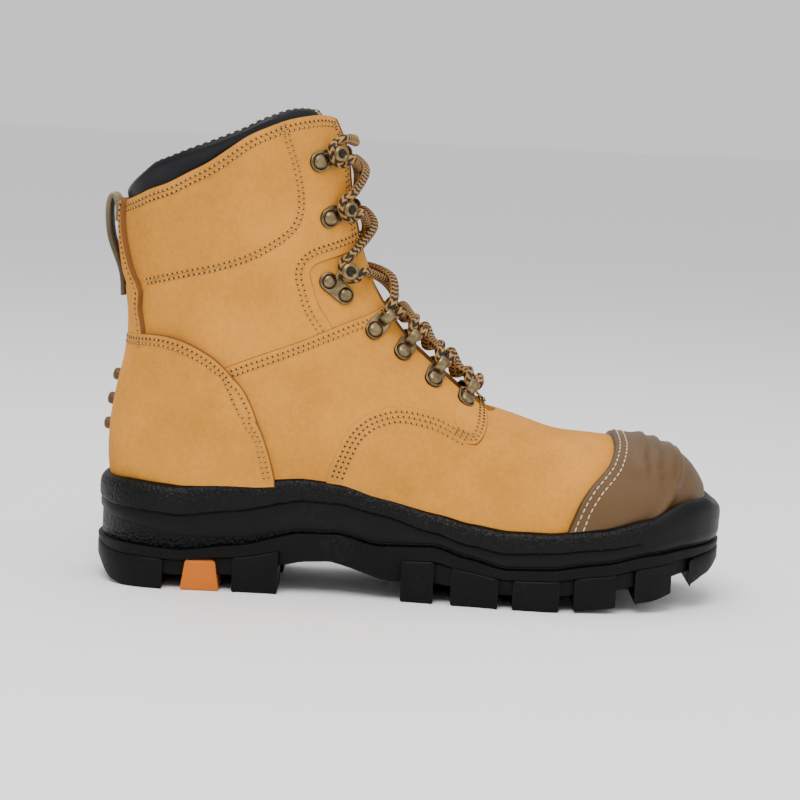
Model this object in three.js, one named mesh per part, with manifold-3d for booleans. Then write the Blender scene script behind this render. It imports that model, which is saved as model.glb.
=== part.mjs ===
// Right work boot with a rubber toe cap, rings and hooks. Millimetres, +X to the toe, +Z up, -Y outer side.
import * as THREE from 'three';
import { mergeVertices } from 'three/addons/utils/BufferGeometryUtils.js';
import Module from 'manifold-3d';

// Main sizes
const soleLength = 312;
const ballWidth = 112;
const bootHeight = 237;
const soleWallHeight = 58;
const seatBelowWall = 17;
const seatHeight = soleWallHeight - seatBelowWall;

// Leather and padding
const upperWall = 2.0;
const anklePanelStep = 0.6;
const quarterStep = 1.2;
const vampStep = 1.8;
const capThickness = 2.4;
const counterThickness = 2.2;
const backStayThickness = 2.3;
const backStayWidth = 34;
const collarPadding = 7;
const tonguePadding = 5;
const tongueWidth = 54;
const throatWidth = 28;
const insoleThickness = 4;
const stripReach = 20;
const throatDepth = 16;
const tongueDepth = 18;
const backStayDepth = 12;

// Sole
const lugShare = 0.35;
const lugProud = 2.2;
const bandStep = 1.0;
const bumperProud = 1.0;
const shoulderRound = 3.2;

// Fittings and lace
const rivetRadius = 4.2;
const rivetHeight = 2.4;
const plateThickness = 1.2;
const plateWidth = 9;
const ringPlateLength = 17;
const hookPlateLength = 12;
const loopRadius = 4.1;
const loopStrip = 1.4;
const loopWidth = 4.5;
const laceDiameter = 4.5;
const laceLift = 1.12;
const laceBow = 0.45;
const studRadius = 2.6;
const studProud = 4.2;
const studSink = 1.2;
const loopStrapWidth = 20;
const loopStrapThickness = 2.2;
const loopStandOff = 4.8;

const clearance = 0.3;
const overlap = 0.5;
const around = 24;
const rings = 22;
const far = 400;

const wasm = await Module();
wasm.setup();

// One row for each section of the last, from the toe tip over the instep and up the shaft.
// Each section runs from a point under or behind the foot to one over or before it.
// x as shares of the sole length, z as shares from the heel seat to the top, y and widths of the ball width.
const sections = [
  // underX, underZ, overX, overZ, centreY, outer, inner, widest, lowRound, highRound
  [0.466, -0.015, 0.466, 0.045, 0.060, 0.045, 0.045, 0.50, 2.2, 2.2],
  [0.461, -0.035, 0.461, 0.070, 0.062, 0.100, 0.100, 0.50, 2.3, 2.3],
  [0.450, -0.060, 0.450, 0.102, 0.062, 0.165, 0.160, 0.50, 2.5, 2.4],
  [0.434, -0.080, 0.434, 0.132, 0.058, 0.232, 0.223, 0.48, 2.8, 2.5],
  [0.410, -0.097, 0.410, 0.156, 0.054, 0.300, 0.280, 0.46, 3.2, 2.5],
  [0.375, -0.107, 0.375, 0.176, 0.048, 0.366, 0.340, 0.45, 3.6, 2.4],
  [0.333, -0.112, 0.333, 0.186, 0.043, 0.415, 0.380, 0.43, 4.0, 2.4],
  [0.288, -0.115, 0.288, 0.192, 0.036, 0.442, 0.404, 0.42, 4.0, 2.3],
  [0.240, -0.117, 0.240, 0.197, 0.029, 0.455, 0.418, 0.41, 4.0, 2.3],
  [0.192, -0.117, 0.192, 0.217, 0.023, 0.457, 0.409, 0.40, 4.0, 2.3],
  [0.144, -0.115, 0.144, 0.244, 0.018, 0.445, 0.384, 0.40, 4.0, 2.2],
  [0.090, -0.110, 0.111, 0.263, 0.014, 0.420, 0.362, 0.41, 4.0, 2.2],
  [0.013, -0.097, 0.072, 0.314, 0.009, 0.391, 0.341, 0.42, 4.0, 2.2],
  [-0.080, -0.077, 0.030, 0.372, 0.005, 0.366, 0.329, 0.43, 4.0, 2.3],
  [-0.186, -0.064, -0.008, 0.430, 0.003, 0.346, 0.325, 0.44, 4.0, 2.3],
  [-0.292, -0.061, -0.034, 0.480, 0.000, 0.334, 0.324, 0.45, 3.8, 2.4],
  [-0.385, -0.061, -0.051, 0.528, 0.000, 0.330, 0.323, 0.46, 3.4, 2.5],
  [-0.449, -0.026, -0.067, 0.577, 0.000, 0.327, 0.322, 0.47, 2.9, 2.5],
  [-0.473, 0.066, -0.080, 0.625, 0.000, 0.328, 0.323, 0.48, 2.7, 2.6],
  [-0.475, 0.168, -0.092, 0.673, 0.000, 0.330, 0.327, 0.48, 2.5, 2.6],
  [-0.466, 0.276, -0.101, 0.722, 0.000, 0.337, 0.334, 0.48, 2.4, 2.6],
  [-0.455, 0.372, -0.108, 0.773, 0.000, 0.345, 0.341, 0.48, 2.4, 2.6],
  [-0.452, 0.459, -0.113, 0.824, 0.000, 0.352, 0.348, 0.48, 2.4, 2.6],
  [-0.458, 0.546, -0.117, 0.872, 0.000, 0.359, 0.355, 0.48, 2.4, 2.6],
  [-0.464, 0.633, -0.125, 0.918, 0.000, 0.364, 0.361, 0.48, 2.4, 2.6],
  [-0.468, 0.719, -0.138, 0.964, 0.000, 0.368, 0.364, 0.48, 2.4, 2.6],
  [-0.468, 0.801, -0.154, 1.015, 0.000, 0.371, 0.367, 0.48, 2.4, 2.6],
  [-0.465, 0.883, -0.170, 1.082, 0.000, 0.373, 0.370, 0.48, 2.4, 2.6],
];

// Sole outline and the heights of its lines along the boot. x as shares of the sole length, widths and
// centres of the ball width, the lines of the sole wall's height and the floor of the seat height.
const soleRows = [
  // x, halfWidth, centre, ground, outsoleTop, lowBand, highBand, rim, floor
  [-0.50, 0.360, 0.000, 0.20, 0.38, 0.62, 0.71, 0.90, 0.93],
  [-0.47, 0.362, 0.000, 0.03, 0.375, 0.58, 0.68, 0.91, 0.93],
  [-0.45, 0.364, 0.000, 0.00, 0.37, 0.56, 0.67, 0.915, 0.93],
  [-0.36, 0.366, 0.000, 0.00, 0.34, 0.46, 0.63, 0.885, 0.93],
  [-0.27, 0.362, -0.004, 0.00, 0.40, 0.47, 0.69, 0.95, 0.975],
  [-0.17, 0.362, -0.010, 0.00, 0.53, 0.56, 0.80, 0.995, 1.00],
  [-0.11, 0.366, -0.013, 0.00, 0.535, 0.565, 0.79, 0.97, 0.965],
  [-0.05, 0.378, -0.016, 0.00, 0.46, 0.49, 0.72, 0.88, 0.87],
  [0.04, 0.410, -0.017, 0.00, 0.48, 0.51, 0.595, 0.765, 0.745],
  [0.09, 0.440, -0.013, 0.00, 0.405, 0.435, 0.515, 0.70, 0.67],
  [0.15, 0.475, -0.005, 0.00, 0.335, 0.36, 0.465, 0.66, 0.62],
  [0.22, 0.500, 0.004, 0.00, 0.35, 0.375, 0.49, 0.66, 0.61],
  [0.30, 0.496, 0.018, 0.035, 0.41, 0.435, 0.535, 0.705, 0.645],
  [0.38, 0.482, 0.032, 0.10, 0.495, 0.515, 0.595, 0.80, 0.72],
  [0.44, 0.464, 0.046, 0.205, 0.535, 0.56, 0.645, 0.93, 0.84],
  [0.475, 0.454, 0.053, 0.285, 0.544, 0.569, 0.659, 0.945, 0.87],
  [0.50, 0.446, 0.058, 0.375, 0.55, 0.575, 0.67, 0.86, 0.90],
];
const soleColumn = { half: 1, centre: 2, ground: 3, outsoleTop: 4, lowBand: 5, highBand: 6, rim: 7, floor: 8 };
const heelEndRound = 0.125;
const toeEndRound = 0.20;
const endFullness = 2.3;

// Grooves between the side lugs: x and width as shares of the sole length.
const sideGrooves = [
  [-0.368, 0.024], [-0.285, 0.021], [0.055, 0.027], [0.153, 0.022], [0.248, 0.022], [0.339, 0.030], [0.427, 0.029],
];
const centreGrooves = [
  [-0.420, 0.020], [-0.325, 0.020], [-0.243, 0.020], [0.012, 0.020], [0.105, 0.022], [0.200, 0.022],
  [0.292, 0.022], [0.383, 0.022],
];
// The orange lug under the outer heel: x as shares of the length, depth of the ball width, top of the wall height.
const insertFrom = -0.354;
const insertTo = -0.296;
const insertDepth = 0.21;
const insertTop = 0.26;
const grooveLine = 0.33;
const grooveWidth = 5;

// The arch under the waist: x as shares of the sole length, z of the sole wall's height.
const archLine = [
  [-0.203, 0.006], [-0.202, 0.240], [-0.167, 0.285], [-0.122, 0.302], [-0.096, 0.267], [-0.032, 0.160],
  [-0.018, 0.083], [-0.010, 0.0],
];

// Side outlines: x as shares of the sole length, z as shares from the heel seat to the top.
const leatherTop = [
  [-0.60, 0.70], [-0.49, 0.740], [-0.45, 0.758], [-0.40, 0.797], [-0.335, 0.855], [-0.275, 0.922],
  [-0.215, 0.965], [-0.160, 0.981], [-0.135, 0.965], [-0.118, 0.930], [-0.106, 0.870], [-0.02, 0.60],
];
const collarTop = [
  [-0.60, 0.70], [-0.49, 0.775], [-0.455, 0.802], [-0.425, 0.842], [-0.397, 0.864], [-0.335, 0.905],
  [-0.275, 0.947], [-0.230, 0.985], [-0.186, 1.0], [-0.160, 0.998], [-0.135, 0.980], [-0.05, 0.90],
];
const collarFoot = [[-0.60, 0.50], [-0.424, 0.553], [-0.309, 0.600], [-0.226, 0.663], [-0.190, 0.743], [0, 0.90]];
const capEdge = [[0.322, 0.30], [0.325, 0.20], [0.300, 0.14], [0.263, 0.06], [0.245, 0.0], [0.235, -0.20]];
const counterEdge = [
  [-0.60, 0.42], [-0.415, 0.423], [-0.353, 0.405], [-0.290, 0.340], [-0.245, 0.227], [-0.219, 0.116], [-0.205, 0.0],
];
const quarterTop = [
  [-0.60, 0.20], [-0.353, 0.315], [-0.258, 0.376], [-0.182, 0.424], [-0.121, 0.465], [-0.045, 0.520], [0.12, 0.62],
];
const ankleWindow = [[0.0, 0.73], [-0.077, 0.668], [-0.163, 0.615], [-0.167, 0.565], [-0.142, 0.478], [-0.10, 0.38]];
const vampEdge = [
  [-0.135, -0.30], [-0.133, 0.080], [-0.118, 0.152], [-0.095, 0.220], [-0.053, 0.263], [-0.007, 0.272],
  [0.040, 0.255], [0.087, 0.219], [0.110, 0.222], [0.130, 0.36],
];

// Places seen from the side: x and z shares as above, and what the fitting sits on.
const fittings = [
  ['hook', -0.166, 0.866, anklePanelStep],
  ['hook', -0.147, 0.729, anklePanelStep],
  ['ankle_hook', -0.130, 0.556, 0],
  ['ring', -0.071, 0.453, quarterStep],
  ['ring', -0.025, 0.399, quarterStep],
  ['ring', 0.025, 0.333, quarterStep],
  ['ring', 0.077, 0.282, quarterStep],
];
// The pull loop's run: share of the way up between its seams, and how far it stands off the heel.
const loopLine = [[0, 0], [0.27, 0.05], [0.64, 0.98], [0.955, 1.02], [1.11, 0.51], [1.02, 0.01], [0.82, 0.10]];

// Heel studs, one above the other at the back: height shares.
const studs = [0.298, 0.236, 0.174];

const colour = {
  leather: 0xcd9b55, cap: 0x73553a, black: 0x1c1d1e, collar: 0x1e2024, orange: 0xde8723, brass: 0x8a7a55,
  lace: 0xaf8c50, insole: 0x4a4038, strap: 0x6a4a2c,
};
const boot = new THREE.Group();

// Curves through table rows

function hermite(a, b, c, d, u) {
  const slopeStart = (c - a) / 2;
  const slopeEnd = (d - b) / 2;
  const uu = u * u;
  const uuu = uu * u;
  return (2 * uuu - 3 * uu + 1) * b + (uuu - 2 * uu + u) * slopeStart
    + (-2 * uuu + 3 * uu) * c + (uuu - uu) * slopeEnd;
}

function sectionRow(t) {
  const place = t * (sections.length - 1);
  const i = Math.min(Math.floor(place), sections.length - 2);
  const before = sections[Math.max(i - 1, 0)];
  const after = sections[Math.min(i + 2, sections.length - 1)];
  return sections[i].map((v, k) => hermite(before[k], v, sections[i + 1][k], after[k], place - i));
}

function soleValue(column, x) {
  const share = x / soleLength;
  let i = soleRows.findIndex((row) => row[0] > share) - 1;
  if (i === -2) i = soleRows.length - 2;
  i = Math.max(i, 0);
  const b = soleRows[i];
  const c = soleRows[i + 1];
  const u = THREE.MathUtils.clamp((share - b[0]) / (c[0] - b[0]), 0, 1);
  const smooth = u * u * (3 - 2 * u);
  const mixed = (u + smooth) / 2;
  return b[column] + (c[column] - b[column]) * mixed;
}

const lineHeight = (column, x) => soleValue(column, x) * soleWallHeight;
const floorHeight = (x) => soleValue(soleColumn.floor, x) * seatHeight;
const xAt = (share) => share * soleLength;
const zAt = (share) => seatHeight + share * (bootHeight - seatHeight);

// The upper's own form, at any distance out from the leather's outer face

function formPoint(t, angle) {
  const [underX, underZ, overX, overZ, centre, outer, inner, widest, lowRound, highRound] = sectionRow(t);
  const c = Math.cos(angle);
  const s = Math.sin(angle);
  const round = s > 0 ? highRound : lowRound;
  const across = Math.sign(c) * Math.abs(c) ** (2 / round) * (c < 0 ? outer : inner);
  const rise = Math.abs(s) ** (2 / round);
  const along = s > 0 ? widest + (1 - widest) * rise : widest - widest * rise;
  return new THREE.Vector3(
    xAt(underX + (overX - underX) * along),
    (centre + across) * ballWidth,
    zAt(underZ) + (zAt(overZ) - zAt(underZ)) * along,
  );
}

function formNormal(t, angle) {
  const dt = 0.004;
  const da = 0.03;
  const alongT = formPoint(Math.min(t + dt, 1), angle).sub(formPoint(Math.max(t - dt, 0), angle));
  const alongA = formPoint(t, angle + da).sub(formPoint(t, angle - da));
  return alongT.cross(alongA).normalize();
}

function surfacePoint(t, angle, out) {
  return formPoint(t, angle).addScaledVector(formNormal(t, angle), out);
}

function closedRings(ringCount, pointAt) {
  const positions = [];
  const index = [];
  const middle = (ring) => {
    const sum = new THREE.Vector3();
    for (let j = 0; j < around; j++) sum.add(ring[j]);
    return sum.divideScalar(around);
  };
  const all = [];
  for (let i = 0; i <= ringCount; i++) {
    all.push(Array.from({ length: around }, (_, j) => pointAt(i / ringCount, (2 * Math.PI * (j + 0.5)) / around)));
  }
  all.forEach((ring) => ring.forEach((p) => positions.push(p.x, p.y, p.z)));
  const start = positions.length / 3;
  positions.push(...middle(all[0]).toArray(), ...middle(all[ringCount]).toArray());
  for (let j = 0; j < around; j++) {
    const next = (j + 1) % around;
    index.push(start, j, next);
    for (let i = 0; i < ringCount; i++) {
      const a = i * around;
      const b = a + around;
      index.push(a + j, b + j, b + next, a + j, b + next, a + next);
    }
    index.push(start + 1, ringCount * around + next, ringCount * around + j);
  }
  const geometry = new THREE.BufferGeometry();
  geometry.setAttribute('position', new THREE.Float32BufferAttribute(positions, 3));
  geometry.setIndex(index);
  return geometry;
}

// Solids

function solid(geometry) {
  const bare = geometry.clone();
  bare.deleteAttribute('normal');
  bare.deleteAttribute('uv');
  const merged = mergeVertices(bare, 1e-4);
  return new wasm.Manifold(new wasm.Mesh({
    numProp: 3,
    vertProperties: new Float32Array(merged.attributes.position.array),
    triVerts: new Uint32Array(merged.index.array),
  }));
}

function geometryOf(manifold) {
  const mesh = manifold.getMesh();
  const geometry = new THREE.BufferGeometry();
  geometry.setAttribute('position', new THREE.BufferAttribute(new Float32Array(mesh.vertProperties), 3));
  geometry.setIndex(new THREE.BufferAttribute(new Uint32Array(mesh.triVerts), 1));
  return geometry;
}

const forms = new Map();
function form(out) {
  const key = out.toFixed(3);
  if (!forms.has(key)) forms.set(key, solid(closedRings(rings, (t, angle) => surfacePoint(t, angle, out))));
  return forms.get(key);
}

function sidePrism(points, nearY = -far, farY = far) {
  const shape = new THREE.Shape(points);
  const geometry = new THREE.ExtrudeGeometry(shape, { depth: farY - nearY, bevelEnabled: false });
  geometry.rotateX(Math.PI / 2);
  geometry.translate(0, farY, 0);
  return solid(geometry);
}

function curvePoints(rows, steps) {
  const points = rows.map(([x, z]) => new THREE.Vector2(xAt(x), zAt(z)));
  return new THREE.SplineCurve(points).getPoints(steps);
}

const corner = (x, z) => new THREE.Vector2(x, z);
const rimSteps = 30;
const floorSteps = 16;
const beyond = soleLength * 0.55;

function aboveLine(heightAt, lift, steps) {
  const line = Array.from({ length: steps + 1 }, (_, i) => {
    const x = -beyond + (2 * beyond * i) / steps;
    return corner(x, heightAt(x) + lift);
  });
  return sidePrism([...line, corner(beyond, far), corner(-beyond, far)]);
}

const rimAt = (x) => lineHeight(soleColumn.rim, x);
const aboveRim = () => aboveLine(rimAt, 2 * clearance, rimSteps);
const aboveFloor = (lift) => aboveLine(floorHeight, lift, floorSteps);
const belowCurve = (rows, steps, endX = far) => {
  const line = curvePoints(rows, steps);
  return sidePrism([...line, corner(endX, line.at(-1).y), corner(endX, -far), corner(line[0].x, -far)]);
};
const aboveCurve = (rows, steps) => {
  const line = curvePoints(rows, steps);
  return sidePrism([...line, corner(line.at(-1).x, far), corner(line[0].x, far)]);
};
const aheadOf = (rows, steps) => {
  const line = curvePoints(rows, steps);
  return sidePrism([...line, corner(far, line.at(-1).y), corner(far, line[0].y)]);
};

function add(name, shape, hue, roughness, metalness = 0) {
  const geometry = shape.isBufferGeometry ? shape : geometryOf(shape);
  const mesh = new THREE.Mesh(geometry, new THREE.MeshStandardMaterial({ color: hue, roughness, metalness }));
  mesh.name = name;
  boot.add(mesh);
}

// A strip along the front or back of the form, followed by its own points in the middle plane
function middleStrip(angle, fromT, toT, steps, depth, width) {
  const sideOfStrip = (out) => Array.from({ length: steps + 1 }, (_, i) => {
    const p = surfacePoint(fromT + ((toT - fromT) * i) / steps, angle, out);
    return corner(p.x, p.z);
  });
  const outside = sideOfStrip(stripReach);
  const inside = sideOfStrip(-depth);
  return sidePrism([...outside, ...inside.reverse()], -width / 2, width / 2);
}

const frontAngle = Math.PI / 2;
const backAngle = 1.5 * Math.PI;
const sectionAt = (row) => row / (sections.length - 1);
const throatStart = sectionAt(11.2);
const tongueStart = sectionAt(10.3);
const backStayRun = [sectionAt(19), sectionAt(26)];
const heelRun = [sectionAt(17), sectionAt(23)];
const pullLoopRun = [sectionAt(22.6), sectionAt(25.2)];

// Upper: a hollow shell with panels as steps in its wall
function buildUpper() {
  const top = belowCurve(leatherTop, 20);
  const shell = form(0).subtract(form(-upperWall));
  const panel = (out, region) => form(out).subtract(form(-overlap)).intersect(region);
  const ankleRegion = sidePrism([
    ...curvePoints(ankleWindow, 9), corner(xAt(-0.3), zAt(0.2)), corner(xAt(-0.7), zAt(0.2)),
    corner(xAt(-0.7), zAt(1.3)), corner(xAt(0), zAt(1.3)),
  ]);
  const throat = middleStrip(frontAngle, throatStart, 1, 14, throatDepth, throatWidth);
  const throatEnd = solid(new THREE.CylinderGeometry(throatWidth / 2, throatWidth / 2, 3 * stripReach, 20));
  const endPoint = formPoint(throatStart, frontAngle);
  const endNormal = formNormal(throatStart, frontAngle);
  const turn = new THREE.Matrix4().makeRotationFromQuaternion(
    new THREE.Quaternion().setFromUnitVectors(new THREE.Vector3(0, 1, 0), endNormal),
  ).setPosition(endPoint);
  return shell
    .add(panel(anklePanelStep, ankleRegion))
    .add(panel(quarterStep, belowCurve(quarterTop, 7)))
    .add(panel(vampStep, aheadOf(vampEdge, 15)))
    .subtract(throat)
    .subtract(throatEnd.transform(turn.elements))
    .intersect(top)
    .intersect(aboveFloor(clearance));
}

// Overlays lie on the panels under them, cut from the same form
function buildCap() {
  const base = vampStep + clearance;
  const region = aheadOf(capEdge, 10);
  return form(base + capThickness).subtract(form(base)).intersect(region).intersect(aboveRim());
}

function buildCounter() {
  const base = quarterStep + clearance;
  return form(base + counterThickness).subtract(form(base))
    .intersect(belowCurve(counterEdge, 12, xAt(counterEdge.at(-1)[0]))).intersect(aboveRim());
}

function buildBackStay() {
  const base = anklePanelStep + clearance;
  const strip = middleStrip(backAngle, ...backStayRun, 12, backStayDepth, backStayWidth);
  const counterSpace = form(quarterStep + counterThickness + 2 * clearance)
    .intersect(sidePrism(curvePoints(counterEdge, 12).map((p) => corner(p.x, p.y + clearance))
      .concat([corner(xAt(-0.205), -far), corner(xAt(-0.6), -far)])));
  const lowQuarter = form(quarterStep + clearance);
  return form(base + backStayThickness).subtract(form(base)).intersect(strip)
    .intersect(belowCurve(leatherTop, 20)).subtract(counterSpace).subtract(lowQuarter.intersect(belowCurve(quarterTop, 7)));
}

function tongueRegion(width) {
  return middleStrip(frontAngle, tongueStart, 1, 16, tongueDepth, width);
}

function buildTongue() {
  const face = -upperWall - clearance;
  return form(face).subtract(form(face - tonguePadding)).intersect(tongueRegion(tongueWidth))
    .intersect(belowCurve(collarTop, 18));
}

function buildCollar() {
  const face = -upperWall - clearance;
  return form(face).subtract(form(face - collarPadding))
    .intersect(belowCurve(collarTop, 18)).intersect(aboveCurve(collarFoot, 7))
    .subtract(tongueRegion(tongueWidth + 4 * clearance));
}

function buildInsole() {
  return form(-upperWall - clearance).intersect(aboveFloor(clearance))
    .subtract(aboveFloor(clearance + insoleThickness));
}

// Sole: rings of one outline at the heights of its lines
const outlineSteps = 20;

function outlinePairs(inset) {
  const pairs = [];
  const heel = -soleLength / 2;
  for (let i = 0; i <= outlineSteps; i++) {
    const share = (1 - Math.cos((Math.PI * i) / outlineSteps)) / 2;
    const x = heel + soleLength * share;
    const toHeel = THREE.MathUtils.clamp((x - heel) / (heelEndRound * soleLength), 0, 1);
    const toToe = THREE.MathUtils.clamp((soleLength / 2 - x) / (toeEndRound * soleLength), 0, 1);
    const heelEnd = (1 - (1 - toHeel) ** endFullness) ** (1 / endFullness);
    const toeEnd = (1 - (1 - toToe) ** endFullness) ** (1 / endFullness);
    const half = soleValue(soleColumn.half, x) * ballWidth * Math.max(heelEnd * toeEnd, 0.03);
    const centre = soleValue(soleColumn.centre, x) * ballWidth;
    const narrower = (ballWidth - 2 * inset) / ballWidth;
    const shorter = (soleLength - 2 * inset) / soleLength;
    pairs.push([x * shorter, centre - half * narrower, centre + half * narrower]);
  }
  return pairs;
}

function soleLoft(levels) {
  const positions = [];
  const index = [];
  const per = 2 * (outlineSteps + 1);
  levels.forEach(([inset, heightAt]) => {
    outlinePairs(inset).forEach(([x, outer, inner]) => {
      const z = heightAt(x);
      positions.push(x, outer, z, x, inner, z);
    });
  });
  const loop = [];
  for (let i = 0; i <= outlineSteps; i++) loop.push(2 * i);
  for (let i = outlineSteps; i >= 0; i--) loop.push(2 * i + 1);
  for (let level = 0; level + 1 < levels.length; level++) {
    const a = level * per;
    const b = a + per;
    loop.forEach((p, k) => {
      const q = loop[(k + 1) % loop.length];
      index.push(a + p, a + q, b + q, a + p, b + q, b + p);
    });
  }
  const top = (levels.length - 1) * per;
  for (let i = 0; i < outlineSteps; i++) {
    const [o, n, oNext, nNext] = [2 * i, 2 * i + 1, 2 * i + 2, 2 * i + 3];
    index.push(o, n, nNext, o, nNext, oNext);
    index.push(top + o, top + oNext, top + nNext, top + o, top + nNext, top + n);
  }
  const geometry = new THREE.BufferGeometry();
  geometry.setAttribute('position', new THREE.Float32BufferAttribute(positions, 3));
  geometry.setIndex(index);
  return solid(geometry);
}

const lineAt = (column, lift = 0) => (x) => lineHeight(soleColumn[column], x) + lift;
const mixLines = (low, high, share, lift = 0) => (x) => (
  lineHeight(soleColumn[low], x) * (1 - share) + lineHeight(soleColumn[high], x) * share + lift
);

function buildMidsole() {
  const wall = soleLoft([
    [bandStep * 2, lineAt('outsoleTop', clearance)],
    [bandStep * 2, lineAt('lowBand')],
    [bandStep, lineAt('lowBand')],
    [bandStep, lineAt('highBand')],
    [bandStep * 0.4, lineAt('highBand')],
    [0, mixLines('highBand', 'rim', 0.6)],
    [shoulderRound, lineAt('rim')],
  ]);
  const bumper = soleLoft([
    [-bumperProud, lineAt('outsoleTop', clearance)],
    [-bumperProud, mixLines('highBand', 'rim', 0.55)],
    [bumperProud, mixLines('highBand', 'rim', 0.85)],
    [shoulderRound + bumperProud, lineAt('rim')],
  ]).intersect(sidePrism([
    corner(xAt(0.385), -far), corner(xAt(0.372), zAt(-0.02)), corner(xAt(0.385), far), corner(far, far),
    corner(far, -far),
  ].reverse()));
  return wall.add(bumper).subtract(form(vampStep + clearance).intersect(aboveFloor(0)));
}

function yBand(from, to, x, width) {
  const box = new THREE.BoxGeometry(width, to - from, far);
  box.translate(x, (from + to) / 2, 0);
  return solid(box);
}

function insertBox(room) {
  const box = new THREE.BoxGeometry((insertTo - insertFrom) * soleLength + 2 * room, ballWidth, far);
  box.translate(((insertFrom + insertTo) / 2) * soleLength, -ballWidth * (0.5 + insertDepth) + room, 0);
  const low = new THREE.BoxGeometry(soleLength, 2 * ballWidth, far);
  low.translate(0, 0, insertTop * soleWallHeight + room - far / 2);
  return solid(box).intersect(solid(low));
}

function buildTread() {
  const lugBase = mixLines('ground', 'outsoleTop', lugShare);
  const core = soleLoft([[lugProud, lugBase], [lugProud, lineAt('outsoleTop')]]);
  let lugs = soleLoft([
    [lugProud, lineAt('ground')],
    [0, mixLines('ground', 'outsoleTop', 0.16)],
    [0, mixLines('ground', 'outsoleTop', 0.72)],
    [lugProud * 1.3, mixLines('ground', 'outsoleTop', 0.8)],
  ]);
  sideGrooves.forEach(([x, width]) => {
    const inner = grooveLine * soleValue(soleColumn.half, xAt(x)) * ballWidth * 2;
    const centre = soleValue(soleColumn.centre, xAt(x)) * ballWidth;
    lugs = lugs.subtract(yBand(centre + inner / 2, ballWidth, xAt(x), width * soleLength));
    lugs = lugs.subtract(yBand(-ballWidth, centre - inner / 2, xAt(x), width * soleLength));
  });
  centreGrooves.forEach(([x, width]) => {
    const inner = grooveLine * soleValue(soleColumn.half, xAt(x)) * ballWidth;
    const centre = soleValue(soleColumn.centre, xAt(x)) * ballWidth;
    lugs = lugs.subtract(yBand(centre - inner, centre + inner, xAt(x), width * soleLength));
  });
  [-1, 1].forEach((side) => {
    const middle = side * grooveLine * ballWidth * 0.45;
    lugs = lugs.subtract(yBand(middle - grooveWidth / 2, middle + grooveWidth / 2, 0, soleLength * 0.9));
  });
  return { core, lugs };
}

function archSpace() {
  const line = archLine.map(([x, z]) => corner(xAt(x), z * soleWallHeight));
  return sidePrism([...line, corner(xAt(archLine.at(-1)[0]), -far), corner(xAt(archLine[0][0]), -far)]);
}

// Fittings, made flat at the origin: +X to the throat, +Z out of the leather
function capsulePlate(length) {
  const shape = new THREE.Shape();
  const half = plateWidth / 2;
  shape.absarc(length - half, 0, half, -Math.PI / 2, Math.PI / 2);
  shape.absarc(0, 0, half, Math.PI / 2, 1.5 * Math.PI);
  return solid(new THREE.ExtrudeGeometry(shape, { depth: plateThickness, bevelEnabled: false, curveSegments: 1 }));
}

function rivet(x, y) {
  const profile = [new THREE.Vector2(0, plateThickness / 2), new THREE.Vector2(rivetRadius, plateThickness / 2)];
  profile.push(new THREE.Vector2(rivetRadius * 0.8, plateThickness + rivetHeight * 0.7));
  profile.push(new THREE.Vector2(0, plateThickness + rivetHeight));
  const geometry = new THREE.LatheGeometry(profile, 6);
  geometry.rotateX(Math.PI / 2);
  geometry.translate(x, y, 0);
  return solid(geometry);
}

function stripAlong(points, width, thickness, steps) {
  const path = new THREE.CatmullRomCurve3(points);
  const section = new THREE.Shape([
    corner(-width / 2, -thickness / 2), corner(width / 2, -thickness / 2),
    corner(width / 2, thickness / 2), corner(-width / 2, thickness / 2),
  ]);
  return solid(new THREE.ExtrudeGeometry(section, { steps, extrudePath: path }));
}

function ringShape() {
  const start = ringPlateLength - plateWidth / 2 - 2 * loopRadius + loopStrip;
  const points = [];
  for (let i = 0; i <= 6; i++) {
    const a = (Math.PI * i) / 6;
    points.push(new THREE.Vector3(
      start + loopRadius - loopRadius * Math.cos(a), 0, plateThickness / 2 + (loopRadius + loopStrip) * Math.sin(a),
    ));
  }
  return capsulePlate(ringPlateLength - plateWidth / 2).add(rivet(0, 0)).add(stripAlong(points, loopWidth, loopStrip, 4));
}

function hookShape() {
  const points = [
    new THREE.Vector3(hookPlateLength * 0.55, 0, plateThickness / 2),
    new THREE.Vector3(hookPlateLength * 0.78, 0, plateThickness + loopStrip),
    new THREE.Vector3(hookPlateLength * 0.66, 0, plateThickness + loopStrip * 3.1),
    new THREE.Vector3(hookPlateLength * 0.20, 0, plateThickness + loopStrip * 4.0),
  ];
  return capsulePlate(hookPlateLength - plateWidth / 2).add(rivet(-0.5, 0)).add(stripAlong(points, loopWidth, loopStrip, 4));
}

function ankleHookShape() {
  return hookShape().add(capsulePlate(hookPlateLength).translate([-hookPlateLength * 0.7, 0, 0]))
    .add(rivet(-hookPlateLength * 0.78, 0));
}

// The place on the form whose side view is x, z
function placeOnForm(x, z, side) {
  let best = { t: 0.6, angle: frontAngle, miss: Infinity };
  let spanT = 0.5;
  let spanA = Math.PI / 2;
  let centreT = 0.5;
  let centreA = side < 0 ? Math.PI : 0;
  for (let pass = 0; pass < 7; pass++) {
    for (let i = -8; i <= 8; i++) {
      for (let j = -8; j <= 8; j++) {
        const t = THREE.MathUtils.clamp(centreT + (spanT * i) / 8, 0, 1);
        const angle = centreA + (spanA * j) / 8;
        const p = formPoint(t, angle);
        const miss = Math.hypot(p.x - x, p.z - z);
        if (miss < best.miss) best = { t, angle, miss };
      }
    }
    centreT = best.t;
    centreA = best.angle;
    spanT /= 3.5;
    spanA /= 3.5;
  }
  return best;
}

const fittingShape = { ring: ringShape(), hook: hookShape(), ankle_hook: ankleHookShape() };
const fittingSpots = [];

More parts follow.
